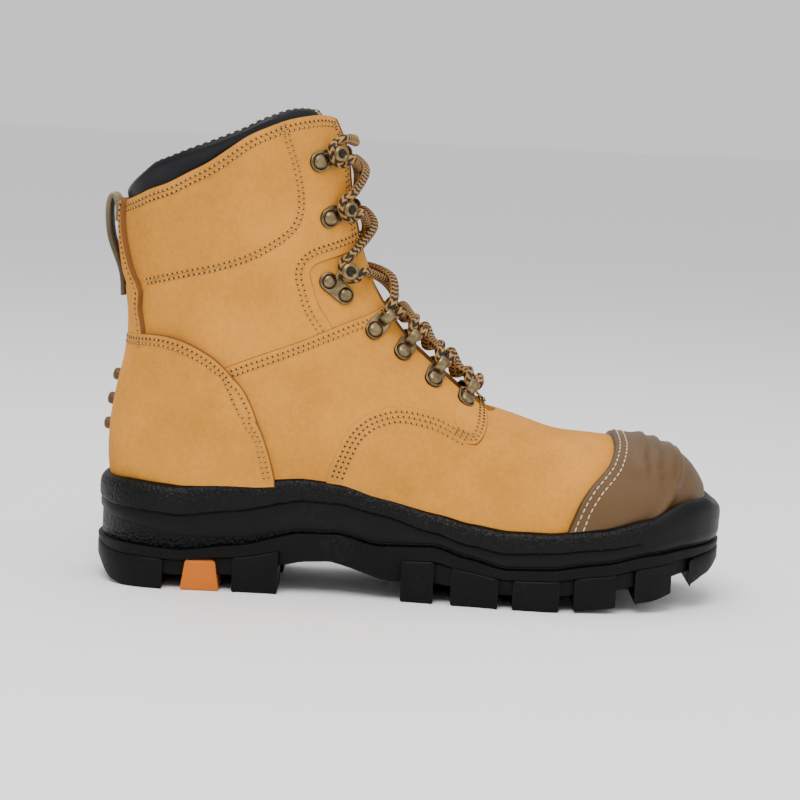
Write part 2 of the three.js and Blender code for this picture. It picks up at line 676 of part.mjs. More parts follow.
function placeFitting(kind, x, z, step, side, number) {
  const spot = placeOnForm(xAt(x), zAt(z), side);
  const normal = formNormal(spot.t, spot.angle);
  const base = surfacePoint(spot.t, spot.angle, step - clearance);
  const toThroat = formPoint(spot.t, spot.angle + (side < 0 ? -0.2 : 0.2)).sub(formPoint(spot.t, spot.angle));
  toThroat.addScaledVector(normal, -toThroat.dot(normal)).normalize();
  const along = new THREE.Vector3().crossVectors(normal, toThroat);
  const turn = new THREE.Matrix4().makeBasis(toThroat, along, normal).setPosition(base);
  const sideName = side < 0 ? 'outer' : 'inner';
  const seated = fittingShape[kind].transform(turn.elements).subtract(form(step + clearance));
  add(`${kind}_${sideName}_${number}`, seated, colour.brass, 0.4, 0.9);
  fittingSpots.push({ side, base, toThroat, normal, kind });
}

function buildFittings() {
  [-1, 1].forEach((side) => {
    const count = {};
    fittings.forEach(([kind, x, z, step]) => {
      count[kind] = (count[kind] ?? 0) + 1;
      placeFitting(kind, x, z, step, side, count[kind]);
    });
  });
}

// Lace: bars from row to row over the tongue, joined where they cross and turn
function laceBar(from, middle, to) {
  const path = new THREE.CatmullRomCurve3([from, middle, to]);
  const section = new THREE.Shape();
  section.absarc(0, 0, laceDiameter / 2, 0, 2 * Math.PI);
  return solid(new THREE.ExtrudeGeometry(section, { steps: 2, extrudePath: path, curveSegments: 2 }));
}

function buildLace() {
  const reach = ringPlateLength - plateWidth / 2 + laceDiameter * 0.75;
  const turns = fittingSpots.map(({ base, toThroat, normal, side }) => ({
    side,
    p: base.clone().addScaledVector(toThroat, reach).addScaledVector(normal, laceDiameter * laceLift),
  }));
  const outer = turns.filter((spot) => spot.side < 0);
  const inner = turns.filter((spot) => spot.side > 0);
  let lace = null;
  const join = (from, to) => {
    const middle = from.clone().add(to).multiplyScalar(0.5);
    const ahead = new THREE.Vector3(0.8, 0, 0.6).multiplyScalar(laceDiameter * laceBow);
    const bar = laceBar(from, middle.add(ahead), to);
    lace = lace ? lace.add(bar) : bar;
  };
  join(outer.at(-1).p, inner.at(-1).p);
  for (let i = 0; i + 1 < outer.length; i++) {
    join(outer[i + 1].p, inner[i].p);
    join(inner[i + 1].p, outer[i].p);
  }
  return lace;
}

function buildPullLoop() {
  const out = anklePanelStep + backStayThickness + clearance * 2 + loopStrapThickness / 2;
  const [low, high] = pullLoopRun.map((t) => surfacePoint(t, backAngle, out));
  const points = loopLine.map(([share, away]) => {
    const p = low.clone().lerp(high, share);
    return new THREE.Vector3(p.x - away * loopStandOff, 0, p.z);
  });
  return stripAlong(points, loopStrapWidth, loopStrapThickness, 16);
}

function buildStuds() {
  studs.forEach((z, i) => {
    const back = placeOnBack(zAt(z));
    const profile = [
      new THREE.Vector2(0, 0), new THREE.Vector2(studRadius, 0), new THREE.Vector2(studRadius, studProud * 0.6),
      new THREE.Vector2(0, studProud),
    ];
    const stud = solid(new THREE.LatheGeometry(profile, 8)).translate([0, -studSink, 0]);
    const turn = new THREE.Matrix4().makeRotationFromQuaternion(
      new THREE.Quaternion().setFromUnitVectors(new THREE.Vector3(0, 1, 0), back.normal),
    ).setPosition(back.p);
    const face = form(quarterStep + counterThickness + 2 * clearance);
    add(`heel_stud_${i + 1}`, stud.transform(turn.elements).subtract(face), colour.cap, 0.6);
  });
}

function placeOnBack(z) {
  const out = quarterStep + counterThickness + clearance * 2;
  let best = { miss: Infinity };
  for (let i = 0; i <= 200; i++) {
    const t = THREE.MathUtils.lerp(...heelRun, i / 200);
    const p = surfacePoint(t, backAngle, out);
    const miss = Math.abs(p.z - z);
    if (miss < best.miss) best = { miss, p, normal: formNormal(t, backAngle) };
  }
  return best;
}

add('upper', buildUpper(), colour.leather, 0.9);
add('toe_cap', buildCap(), colour.cap, 0.6);
add('heel_counter', buildCounter(), colour.leather, 0.9);
add('back_stay', buildBackStay(), colour.leather, 0.9);
add('pull_loop', buildPullLoop(), colour.strap, 0.8);
buildStuds();
add('collar', buildCollar(), colour.collar, 0.5);
add('tongue', buildTongue(), colour.leather, 0.9);
add('insole', buildInsole(), colour.insole, 0.9);
add('midsole', buildMidsole(), colour.black, 0.7);
const { core, lugs } = buildTread();
add('outsole', core.add(lugs).subtract(archSpace()).subtract(insertBox(clearance)), colour.black, 0.7);
add('heel_insert', lugs.intersect(insertBox(0)), colour.orange, 0.6);
buildFittings();
add('lace', buildLace(), colour.lace, 0.8);

// The origin is under the middle of the whole boot
const middle = new THREE.Box3().setFromObject(boot).getCenter(new THREE.Vector3());
boot.position.set(-middle.x, -middle.y, 0);

export default boot;
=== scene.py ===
"""Dressed model of a right work boot: leather panels, rubber cap and sole, fittings, lace and stitching."""

import math

import bpy
import numpy as np
from mathutils import Matrix, Vector
from mathutils.geometry import delaunay_2d_cdt


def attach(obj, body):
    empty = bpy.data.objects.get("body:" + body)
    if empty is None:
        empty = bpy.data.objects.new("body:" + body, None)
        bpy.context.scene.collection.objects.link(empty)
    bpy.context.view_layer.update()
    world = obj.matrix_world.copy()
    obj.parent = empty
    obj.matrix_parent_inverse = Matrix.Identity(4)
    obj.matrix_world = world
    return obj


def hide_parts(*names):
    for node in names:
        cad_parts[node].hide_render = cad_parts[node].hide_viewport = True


bl_info = {
    "name": "Work Boot",
    "version": (1, 0, 0),
    "blender": (4, 5, 0),
    "location": "View3D > Sidebar > Boot",
    "description": "Builds a laced work boot with a rubber toe cap and a lugged sole",
    "category": "Add Mesh",
}

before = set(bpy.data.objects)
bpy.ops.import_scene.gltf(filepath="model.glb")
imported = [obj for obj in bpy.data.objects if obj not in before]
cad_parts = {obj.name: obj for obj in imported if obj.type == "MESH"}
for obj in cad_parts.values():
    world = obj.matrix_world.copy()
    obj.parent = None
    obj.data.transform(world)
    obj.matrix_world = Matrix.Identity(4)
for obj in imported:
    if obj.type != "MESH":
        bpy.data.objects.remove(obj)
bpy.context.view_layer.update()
MM = 0.001
SHIFT = np.array([-0.219, -1.037, 0.0])

# Sizes of the last in millimetres, as in the part
LENGTH, WIDTH, HEIGHT, SEAT, WALL = 312.0, 112.0, 237.0, 41.0, 58.0
LEATHER, ANKLE_OUT, QUARTER_OUT, VAMP_OUT = 2.0, 0.6, 1.2, 1.8
COUNTER_OUT, CAP_OUT, STAY_OUT = 3.7, 4.5, 3.5
THROAT_WIDTH, THROAT_ROW, CLEAR = 28.0, 11.2, 0.3
FRONT, BACK = math.pi / 2, 1.5 * math.pi
# Focal length and sensor width in mm, from the photo's perspective
FOCAL, SENSOR = 103.92, 36
# Least room between a panel's edge and its inner points, as a share of their spacing
EDGE_ROOM = 0.45
DUST_COLOUR = (0.42, 0.38, 0.32)
# Fine upright grooves in the sole's waist: how many to a metre, their middle, and how far they reach
GROOVES, WAIST_X, WAIST_Z, WAIST_REACH = 420.0, -0.036, 0.021, (0.024, 0.008)

# Sections of the last: shares of length, height and ball width
# underX, underZ, overX, overZ, centreY, outer, inner, widest, lowRound, highRound
SECTIONS = np.array([
    [0.466, -0.015, 0.466, 0.045, 0.060, 0.045, 0.045, 0.50, 2.2, 2.2],
    [0.461, -0.035, 0.461, 0.070, 0.062, 0.100, 0.100, 0.50, 2.3, 2.3],
    [0.450, -0.060, 0.450, 0.102, 0.062, 0.165, 0.160, 0.50, 2.5, 2.4],
    [0.434, -0.080, 0.434, 0.132, 0.058, 0.232, 0.223, 0.48, 2.8, 2.5],
    [0.410, -0.097, 0.410, 0.156, 0.054, 0.300, 0.280, 0.46, 3.2, 2.5],
    [0.375, -0.107, 0.375, 0.176, 0.048, 0.366, 0.340, 0.45, 3.6, 2.4],
    [0.333, -0.112, 0.333, 0.186, 0.043, 0.415, 0.380, 0.43, 4.0, 2.4],
    [0.288, -0.115, 0.288, 0.192, 0.036, 0.442, 0.404, 0.42, 4.0, 2.3],
    [0.240, -0.117, 0.240, 0.197, 0.029, 0.455, 0.418, 0.41, 4.0, 2.3],
    [0.192, -0.117, 0.192, 0.217, 0.023, 0.457, 0.409, 0.40, 4.0, 2.3],
    [0.144, -0.115, 0.144, 0.244, 0.018, 0.445, 0.384, 0.40, 4.0, 2.2],
    [0.090, -0.110, 0.111, 0.263, 0.014, 0.420, 0.362, 0.41, 4.0, 2.2],
    [0.013, -0.097, 0.072, 0.314, 0.009, 0.391, 0.341, 0.42, 4.0, 2.2],
    [-0.080, -0.077, 0.030, 0.372, 0.005, 0.366, 0.329, 0.43, 4.0, 2.3],
    [-0.186, -0.064, -0.008, 0.430, 0.003, 0.346, 0.325, 0.44, 4.0, 2.3],
    [-0.292, -0.061, -0.034, 0.480, 0.000, 0.334, 0.324, 0.45, 3.8, 2.4],
    [-0.385, -0.061, -0.051, 0.528, 0.000, 0.330, 0.323, 0.46, 3.4, 2.5],
    [-0.449, -0.026, -0.067, 0.577, 0.000, 0.327, 0.322, 0.47, 2.9, 2.5],
    [-0.473, 0.066, -0.080, 0.625, 0.000, 0.328, 0.323, 0.48, 2.7, 2.6],
    [-0.475, 0.168, -0.092, 0.673, 0.000, 0.330, 0.327, 0.48, 2.5, 2.6],
    [-0.466, 0.276, -0.101, 0.722, 0.000, 0.337, 0.334, 0.48, 2.4, 2.6],
    [-0.455, 0.372, -0.108, 0.773, 0.000, 0.345, 0.341, 0.48, 2.4, 2.6],
    [-0.452, 0.459, -0.113, 0.824, 0.000, 0.352, 0.348, 0.48, 2.4, 2.6],
    [-0.458, 0.546, -0.117, 0.872, 0.000, 0.359, 0.355, 0.48, 2.4, 2.6],
    [-0.464, 0.633, -0.125, 0.918, 0.000, 0.364, 0.361, 0.48, 2.4, 2.6],
    [-0.468, 0.719, -0.138, 0.964, 0.000, 0.368, 0.364, 0.48, 2.4, 2.6],
    [-0.468, 0.801, -0.154, 1.015, 0.000, 0.371, 0.367, 0.48, 2.4, 2.6],
    [-0.465, 0.883, -0.170, 1.082, 0.000, 0.373, 0.370, 0.48, 2.4, 2.6],
])

# Sole: shares of length, ball width, wall height and seat height
# x, half, centre, ground, outsoleTop, lowBand, highBand, rim, floor
SOLE = np.array([
    [-0.50, 0.360, 0.000, 0.20, 0.38, 0.62, 0.71, 0.90, 0.93],
    [-0.47, 0.362, 0.000, 0.03, 0.375, 0.58, 0.68, 0.91, 0.93],
    [-0.45, 0.364, 0.000, 0.00, 0.37, 0.56, 0.67, 0.915, 0.93],
    [-0.36, 0.366, 0.000, 0.00, 0.34, 0.46, 0.63, 0.885, 0.93],
    [-0.27, 0.362, -0.004, 0.00, 0.40, 0.47, 0.69, 0.95, 0.975],
    [-0.17, 0.362, -0.010, 0.00, 0.53, 0.56, 0.80, 0.995, 1.00],
    [-0.11, 0.366, -0.013, 0.00, 0.535, 0.565, 0.79, 0.97, 0.965],
    [-0.05, 0.378, -0.016, 0.00, 0.46, 0.49, 0.72, 0.88, 0.87],
    [0.04, 0.410, -0.017, 0.00, 0.48, 0.51, 0.595, 0.765, 0.745],
    [0.09, 0.440, -0.013, 0.00, 0.405, 0.435, 0.515, 0.70, 0.67],
    [0.15, 0.475, -0.005, 0.00, 0.335, 0.36, 0.465, 0.66, 0.62],
    [0.22, 0.500, 0.004, 0.00, 0.35, 0.375, 0.49, 0.66, 0.61],
    [0.30, 0.496, 0.018, 0.035, 0.41, 0.435, 0.535, 0.705, 0.645],
    [0.38, 0.482, 0.032, 0.10, 0.495, 0.515, 0.595, 0.80, 0.72],
    [0.44, 0.464, 0.046, 0.205, 0.535, 0.56, 0.645, 0.93, 0.84],
    [0.475, 0.454, 0.053, 0.285, 0.544, 0.569, 0.659, 0.945, 0.87],
    [0.50, 0.446, 0.058, 0.375, 0.55, 0.575, 0.67, 0.86, 0.90],
])
HALF, CENTRE, GROUND, TREAD_TOP, LOW_BAND, HIGH_BAND, RIM, FLOOR = range(1, 9)
CENTRE_GROOVES = [-0.420, -0.325, -0.243, 0.012, 0.105, 0.200, 0.292, 0.383]
ARCH = [(-0.203, 0.006), (-0.202, 0.240), (-0.167, 0.285), (-0.122, 0.302), (-0.096, 0.267),
    (-0.032, 0.160), (-0.018, 0.083), (-0.010, 0.0)]

# Edges of the panels seen from the side, x and z in millimetres
LEATHER_TOP = [(-156, 184), (-141.2, 189.6), (-132, 194.3), (-122.8, 198), (-113.3, 203.3), (-104, 208.5),
    (-95, 215), (-85.7, 221.7), (-76.3, 226.4), (-67, 230.2), (-57.8, 232.5), (-50.2, 233.3),
    (-44.4, 231.2), (-39.4, 226.4), (-36, 219), (-33.5, 211), (-28, 198)]
COLLAR_TOP = [(-158, 180), (-150, 189), (-145, 195), (-140, 199.8), (-135, 204.0), (-130.3, 207.8),
    (-123.6, 210.6), (-114, 214.7), (-104.6, 218.4), (-95.6, 222.2), (-86.2, 226.4), (-80.5, 229.6),
    (-72, 233.3), (-64, 236.2), (-55, 237), (-47, 235.4), (-41, 232), (-34, 224)]
COLLAR_LINE = [(-156, 146.5), (-132.3, 149.3), (-115.6, 153.9), (-96.5, 158.7), (-82.3, 164), (-70.5, 171),
    (-62.6, 178), (-59.2, 186.7), (-59.6, 197.2), (-62.4, 209), (-65.7, 218.3), (-68, 225.4), (-70, 233)]
WINDOW = [(-24, 171.5), (-29.3, 169.7), (-39.2, 165.9), (-50.5, 161.6), (-53.6, 157.5), (-52.2, 151.8),
    (-48.9, 142.2), (-44.2, 134.7), (-41, 129.5)]
QUARTER_TOP = [(-118, 98), (-104, 105), (-91, 110.4), (-80.6, 114.8), (-56.8, 124), (-37.8, 132.3),
    (-23.5, 138.2), (-16.5, 142.4), (-8, 147.5)]
COUNTER = [(-156, 123), (-139.6, 123.4), (-129.5, 124), (-119.8, 123.3), (-110, 120.4), (-100.3, 115.5),
    (-96.5, 112.8), (-90.8, 107.7), (-84.7, 101.2), (-80.6, 95), (-76.4, 85.5), (-71.6, 74), (-68.3, 63.8),
    (-66.8, 58), (-66.2, 54)]
VAMP = [(-42, 52), (-40.4, 61.3), (-37, 70.7), (-33.8, 78.2), (-29.7, 84.2), (-23.7, 89.4), (-16.6, 92.6),
        (-9.4, 94.4), (-2.2, 94.3), (5, 93), (12.4, 91), (19.8, 87.5), (27.2, 83.6), (33.5, 79.5)]
TIP = [(22, 104), (29.7, 102), (33.8, 98.3), (36, 93.5), (35.9, 86), (32.8, 80), (28.9, 78.3), (20, 82)]
CAP = [(101, 84), (99.9, 81.3), (99, 77.7), (96, 71.2), (91.4, 66), (86.8, 60.9), (82.3, 53.3),
    (79.3, 45.8), (77.2, 40.3), (75.5, 34)]
STAY = [(-143.6, 187), (-142.4, 172.6), (-139.8, 160.4), (-136.4, 148.5), (-134.4, 144),
        (-134.6, 135.5), (-133.2, 127.7), (-132, 117)]

# Creases of the leather: from x, z to x, z, width, and how far it rises or sinks
CREASES = [
    (-20, 128, -70, 118, 5.0, -0.55), (-22, 134, -62, 127, 4.0, 0.45), (0, 108, -38, 98, 6.0, -0.50),
    (6, 98, -20, 103, 4.5, 0.40), (34, 88, 58, 66, 7.0, -0.60), (44, 90, 66, 72, 6.0, 0.45),
    (60, 84, 78, 62, 6.0, -0.50), (-126, 112, -96, 84, 9.0, -0.45), (-122, 142, -88, 138, 7.0, -0.50),
    (-104, 150, -70, 146, 6.0, 0.40), (-60, 108, -56, 72, 9.0, -0.40), (20, 60, 60, 52, 8.0, -0.40),
    (-48, 196, -44, 178, 6.0, -0.35), (-86, 132, -58, 140, 6.0, -0.35), (-120, 200, -80, 214, 5.0, 0.35),
]

# Fittings: kind, share of length, share of height, what they sit on
FITTINGS = [("hook", -0.166, 0.866, ANKLE_OUT), ("hook", -0.147, 0.729, ANKLE_OUT),
    ("ankle_hook", -0.130, 0.556, 0.0), ("ring", -0.071, 0.453, QUARTER_OUT),
    ("ring", -0.025, 0.399, QUARTER_OUT), ("ring", 0.025, 0.333, QUARTER_OUT),
    ("ring", 0.077, 0.282, QUARTER_OUT),]
STUDS = [0.298, 0.236, 0.174]
LAST_ROW = len(SECTIONS) - 1


# The form of the last

def row(number):
    return number / LAST_ROW


def section_values(t):
    place = np.clip(np.atleast_1d(t), 0, 1) * LAST_ROW
    i = np.minimum(np.floor(place).astype(int), LAST_ROW - 1)
    u = (place - i)[:, None]
    a, b = SECTIONS[np.maximum(i - 1, 0)], SECTIONS[i]
    c, d = SECTIONS[i + 1], SECTIONS[np.minimum(i + 2, LAST_ROW)]
    u2, u3 = u * u, u * u * u
    return ((2 * u3 - 3 * u2 + 1) * b + (u3 - 2 * u2 + u) * (c - a) / 2
            + (3 * u2 - 2 * u3) * c + (u3 - u2) * (d - b) / 2)


def height(share):
    return SEAT + share * (HEIGHT - SEAT)


def form(t, a):
    v = section_values(t)
    c, s = np.cos(a), np.sin(a)
    turn = np.where(s > 0, v[:, 9], v[:, 8])
    across = np.sign(c) * np.abs(c) ** (2 / turn) * np.where(c < 0, v[:, 5], v[:, 6])
    rise = np.abs(s) ** (2 / turn)
    along = np.where(s > 0, v[:, 7] + (1 - v[:, 7]) * rise, v[:, 7] - v[:, 7] * rise)
    x = (v[:, 0] + (v[:, 2] - v[:, 0]) * along) * LENGTH
    z = height(v[:, 1]) + (height(v[:, 3]) - height(v[:, 1])) * along
    return np.stack([x, (v[:, 4] + across) * WIDTH, z], 1)


def unit(v):
    return v / np.maximum(np.linalg.norm(v, axis=-1, keepdims=True), 1e-9)


def tangents(t, a):
    high, low = np.minimum(t + 0.003, 1), np.maximum(t - 0.003, 0)
    along = (form(high, a) - form(low, a)) / (high - low)[:, None]
    round_ = (form(t, a + 0.02) - form(t, a - 0.02)) / 0.04
    return along, round_, unit(np.cross(along, round_))


def segment_distance(points, line):
    a, b = line[:-1], line[1:]
    d = b - a
    u = np.einsum("pij,ij->pi", points[:, None] - a, d) / np.maximum((d * d).sum(1), 1e-9)
    near = a + d * np.clip(u, 0, 1)[..., None]
    return np.linalg.norm(points[:, None] - near, axis=2).min(1)


def smooth_curve(points, spacing=1.3):
    p = np.asarray(points, float)
    wide = np.vstack([2 * p[0] - p[1], p, 2 * p[-1] - p[-2]])
    made = []
    for i in range(len(p) - 1):
        a, b, c, d = wide[i:i + 4]
        steps = max(int(np.linalg.norm(c - b) / spacing), 1)
        u = np.linspace(0, 1, steps, endpoint=False)[:, None]
        made.append((2 * u**3 - 3 * u**2 + 1) * b + (u**3 - 2 * u**2 + u) * (c - a) / 2
                    + (3 * u**2 - 2 * u**3) * c + (u**3 - u**2) * (d - b) / 2)
    return np.vstack([*made, p[-1:]])


COLLAR_RUN = smooth_curve(COLLAR_LINE, 3)
TOP_RUN = smooth_curve(LEATHER_TOP, 3)


def relief(p):
    """Soft troughs and ridges of worn leather, and the padded part under the collar."""
    side = p[:, [0, 2]]
    made = (0.16 * np.sin(side[:, 0] * 0.11 + side[:, 1] * 0.07 + 0.02 * p[:, 1])
            + 0.12 * np.sin(side[:, 0] * 0.05 - side[:, 1] * 0.13 + 1.3))
    for x0, z0, x1, z1, width, depth in CREASES:
        a, d = np.array([x0, z0]), np.array([x1 - x0, z1 - z0])
        u = ((side - a) @ d) / (d @ d)
        gap = np.linalg.norm(side - a - np.clip(u, 0, 1)[:, None] * d, axis=1)
        made += depth * np.exp(-(gap / width) ** 2) * np.sin(np.pi * np.clip(u * 0.9 + 0.05, 0.05, 0.95))
    ahead = np.interp(side[:, 1], COLLAR_RUN[:, 1], COLLAR_RUN[:, 0])
    rising = COLLAR_RUN[:COLLAR_RUN[:, 0].argmax() + 1]
    under = np.interp(side[:, 0], rising[:, 0], rising[:, 1])
    inside = (side[:, 1] > under) & (side[:, 0] < ahead)
    gap = np.minimum(segment_distance(side, COLLAR_RUN), segment_distance(side, TOP_RUN) + 1.5)
    seam = segment_distance(side, COLLAR_RUN)
    made += np.where(inside, 1.9 * (1 - np.exp(-gap / 7.0)), 0) - 0.35 * np.exp(-(seam / 1.6) ** 2)
    return made


def leather(t, a, out, worn=1.0):
    p = form(t, a)
    lift = out + (worn * relief(p) if worn else 0)
    return p + tangents(t, a)[2] * np.reshape(lift, (-1, 1))


SCAN_T = np.linspace(0, 1, 1081)
SCAN = section_values(SCAN_T)
SCAN_UNDER = np.stack([SCAN[:, 0] * LENGTH, height(SCAN[:, 1])], 1)
SCAN_SPAN = np.stack([SCAN[:, 2] * LENGTH, height(SCAN[:, 3])], 1) - SCAN_UNDER


def place(side, out=0.0):
    """Where on the outer half of the form the points of a side view lie."""
    goal = np.asarray(side, float)
    aim = goal.copy()
    for _ in range(4 if out else 1):
        off = aim[:, None] - SCAN_UNDER
        cross = off[..., 0] * SCAN_SPAN[:, 1] - off[..., 1] * SCAN_SPAN[:, 0]
        share = (off * SCAN_SPAN).sum(2) / (SCAN_SPAN**2).sum(1)
        meets = cross[:, :-1] * cross[:, 1:] <= 0
        cost = np.where(meets, np.abs(share[:, :-1] - 0.5), 50 + np.abs(cross[:, :-1]) * 0.001)
        k = cost.argmin(1)
        n = np.arange(len(aim))
        c0, c1 = cross[n, k], cross[n, k + 1]
        f = np.clip(np.where(c0 != c1, c0 / np.where(c0 != c1, c0 - c1, 1), 0), 0, 1)
        t = (k + f) / (len(SCAN_T) - 1)
        w = np.clip(share[n, k] * (1 - f) + share[n, k + 1] * f, 0, 1)
        v = section_values(t)
        up = np.clip((w - v[:, 7]) / (1 - v[:, 7]), 0, 1) ** (v[:, 9] / 2)
        down = np.clip((v[:, 7] - w) / v[:, 7], 0, 1) ** (v[:, 8] / 2)
        a = np.pi - np.arcsin(np.where(w > v[:, 7], up, -down))
        if out:
            off_x, off_z = (leather(t, a, out, 0)[:, [0, 2]] - goal).T
            aim = aim - np.stack([off_x, off_z], 1) * 0.8
    return np.stack([t, a], 1)


def strip_angle(t, half, where=FRONT):
    v = section_values(t)
    share = np.clip((half / WIDTH + (v[:, 4] if where == FRONT else 0)) / v[:, 5], 0, 1)
    turn = v[:, 9] if where == FRONT else v[:, 8]
    bend = np.arcsin(share ** (turn / 2))
    return FRONT + bend if where == FRONT else BACK - bend


def edge(points, out=0.0, spacing=1.3):
    return place(smooth_curve(points, spacing), out)


def throat(t0, t1, half=THROAT_WIDTH / 2, steps=90):
    t = np.linspace(t0, t1, steps)
    return np.stack([t, strip_angle(t, half)], 1)


def mirror(line, where):
    other = line[::-1].copy()
    other[:, 1] = 2 * where - other[:, 1]
    return other


def rim_line(x0, x1, depth=4.0):
    x = np.linspace(x0, x1, max(int(abs(x1 - x0) / 2), 2))
    return place(np.stack([x, sole_value(RIM, x) * WALL - depth], 1))


def sole_value(column, x):
    share = np.asarray(x, float) / LENGTH
    i = np.clip(np.searchsorted(SOLE[:, 0], share, side="right") - 1, 0, len(SOLE) - 2)
    u = np.clip((share - SOLE[i, 0]) / (SOLE[i + 1, 0] - SOLE[i, 0]), 0, 1)
    mixed = (u + u * u * (3 - 2 * u)) / 2
    return SOLE[i, column] + (SOLE[i + 1, column] - SOLE[i, column]) * mixed


# Meshes

class Build:
    """Collects points, faces and their masks, then makes one object."""

    def __init__(self):
        self.points, self.faces, self.slots = [], [], []
        self.masks = {"rim": [], "tone": []}
        self.uvs = []
        self.count = 0

    def add(self, points, faces, slot=0, rim=0.0, tone=0.0, uv=None):
        points = np.asarray(points, float)
        self.points.append(points)
        self.faces += [tuple(int(i) + self.count for i in f) for f in faces]
        self.slots += [slot] * len(faces)
        for name, value in (("rim", rim), ("tone", tone)):
            self.masks[name].append(np.broadcast_to(np.asarray(value, float), (len(points),)))
        self.uvs.append(np.zeros((len(points), 2)) if uv is None else np.asarray(uv, float))
        self.count += len(points)
        return self

    def grid(self, points, closed_u=False, closed_v=False, flip=False, **kind):
        """points is rows by columns by 3."""
        n, m = points.shape[:2]
        faces = []
        for i in range(n if closed_u else n - 1):
            for j in range(m if closed_v else m - 1):
                i2, j2 = (i + 1) % n, (j + 1) % m
                f = (i * m + j, i2 * m + j, i2 * m + j2, i * m + j2)
                faces.append(f[::-1] if flip else f)
        for name in ("rim", "tone"):
            if name in kind and np.ndim(kind[name]):
                kind[name] = np.broadcast_to(kind[name], (n, m)).reshape(-1)
        if kind.get("uv") is not None:
            kind["uv"] = np.asarray(kind["uv"]).reshape(-1, 2)
        return self.add(points.reshape(-1, 3), faces, **kind)

    def cap(self, ring, flip=False, **kind):
        """A fan that closes a ring of points."""
        ring = np.asarray(ring, float)
        points = np.vstack([ring, ring.mean(0)])
        n = len(ring)
        faces = [(i, (i + 1) % n, n) if not flip else ((i + 1) % n, i, n) for i in range(n)]
        return self.add(points, faces, **kind)

    def make(self, name, materials, smooth=True):
        points = (np.vstack(self.points) + SHIFT) * MM
        mesh = bpy.data.meshes.new(name)
        mesh.from_pydata(points.tolist(), [], self.faces)
        for m in materials:
            mesh.materials.append(m)
        mesh.polygons.foreach_set("material_index", self.slots)
        mesh.polygons.foreach_set("use_smooth", [smooth] * len(self.faces))
        for mask, values in self.masks.items():
            layer = mesh.attributes.new(mask, "FLOAT", "POINT")
            layer.data.foreach_set("value", np.concatenate(values).astype(np.float32))
        uv = np.vstack(self.uvs)
        if uv.any():
            corner = np.empty(len(mesh.loops), int)
            mesh.loops.foreach_get("vertex_index", corner)
            mesh.uv_layers.new(name="UVMap").data.foreach_set("uv", uv[corner].astype(np.float32).ravel())
        mesh.update()
        made = bpy.data.objects.new(name, mesh)
        bpy.context.collection.objects.link(made)
        return made


def finished(made, slot, *nodes, sharp=None):
    """Rides on the one body and stands for its solids; the slot it is given is not used."""
    if sharp is not None:
        made.data.set_sharp_from_angle(angle=math.radians(sharp))
    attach(made, "root")
    if nodes:
        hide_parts(*nodes)
    return made


def shift_in(loop, by, closed=True):
    """Moves a line on the form to its left by a distance in the surface."""
    t, a = loop.T
    p = form(t, a)
    along, across, normal = tangents(t, a)
    way = np.roll(p, -1, 0) - np.roll(p, 1, 0) if closed else np.gradient(p, axis=0)
    left = unit(np.cross(normal, way))
    g11, g12, g22 = (along**2).sum(1), (along * across).sum(1), (across**2).sum(1)
    b1, b2 = (along * left).sum(1), (across * left).sum(1)
    det = np.maximum(g11 * g22 - g12**2, 1e-6)
    move = np.stack([(b1 * g22 - b2 * g12) / det, (b2 * g11 - b1 * g12) / det], 1)
    moved = loop + move * np.reshape(by, (-1, 1))
    moved[:, 0] = np.clip(moved[:, 0], 0, 1)
    return moved


LATTICE_T = np.linspace(0, 1, 163)
LATTICE_A = np.linspace(-np.pi, 4 * np.pi, 1801)
LATTICE = np.stack([form(np.full(len(LATTICE_A), t), LATTICE_A) for t in LATTICE_T])
GIRTH = np.concatenate([np.zeros((len(LATTICE_T), 1)),
                        np.cumsum(np.linalg.norm(np.diff(LATTICE, axis=1), axis=2), axis=1)], 1)


def girth(t, a):
    """How far round the section a point lies."""
    i = np.clip(t * (len(LATTICE_T) - 1), 0, len(LATTICE_T) - 1.001)
    j = np.clip((a + np.pi) / (5 * np.pi) * (len(LATTICE_A) - 1), 0, len(LATTICE_A) - 1.001)
    i0, j0 = i.astype(int), j.astype(int)
    u, v = i - i0, j - j0
    return ((1 - u) * ((1 - v) * GIRTH[i0, j0] + v * GIRTH[i0, j0 + 1])
            + u * ((1 - v) * GIRTH[i0 + 1, j0] + v * GIRTH[i0 + 1, j0 + 1]))


def inside_loop(points, loop):
    x, y = points.T
    inside = np.zeros(len(points), bool)
    for (x0, y0), (x1, y1) in zip(loop, np.roll(loop, -1, 0)):
        if y0 == y1:
            continue
        crosses = (y0 > y) != (y1 > y)
        inside ^= crosses & (x < (x1 - x0) * (y - y0) / (y1 - y0) + x0)
    return inside


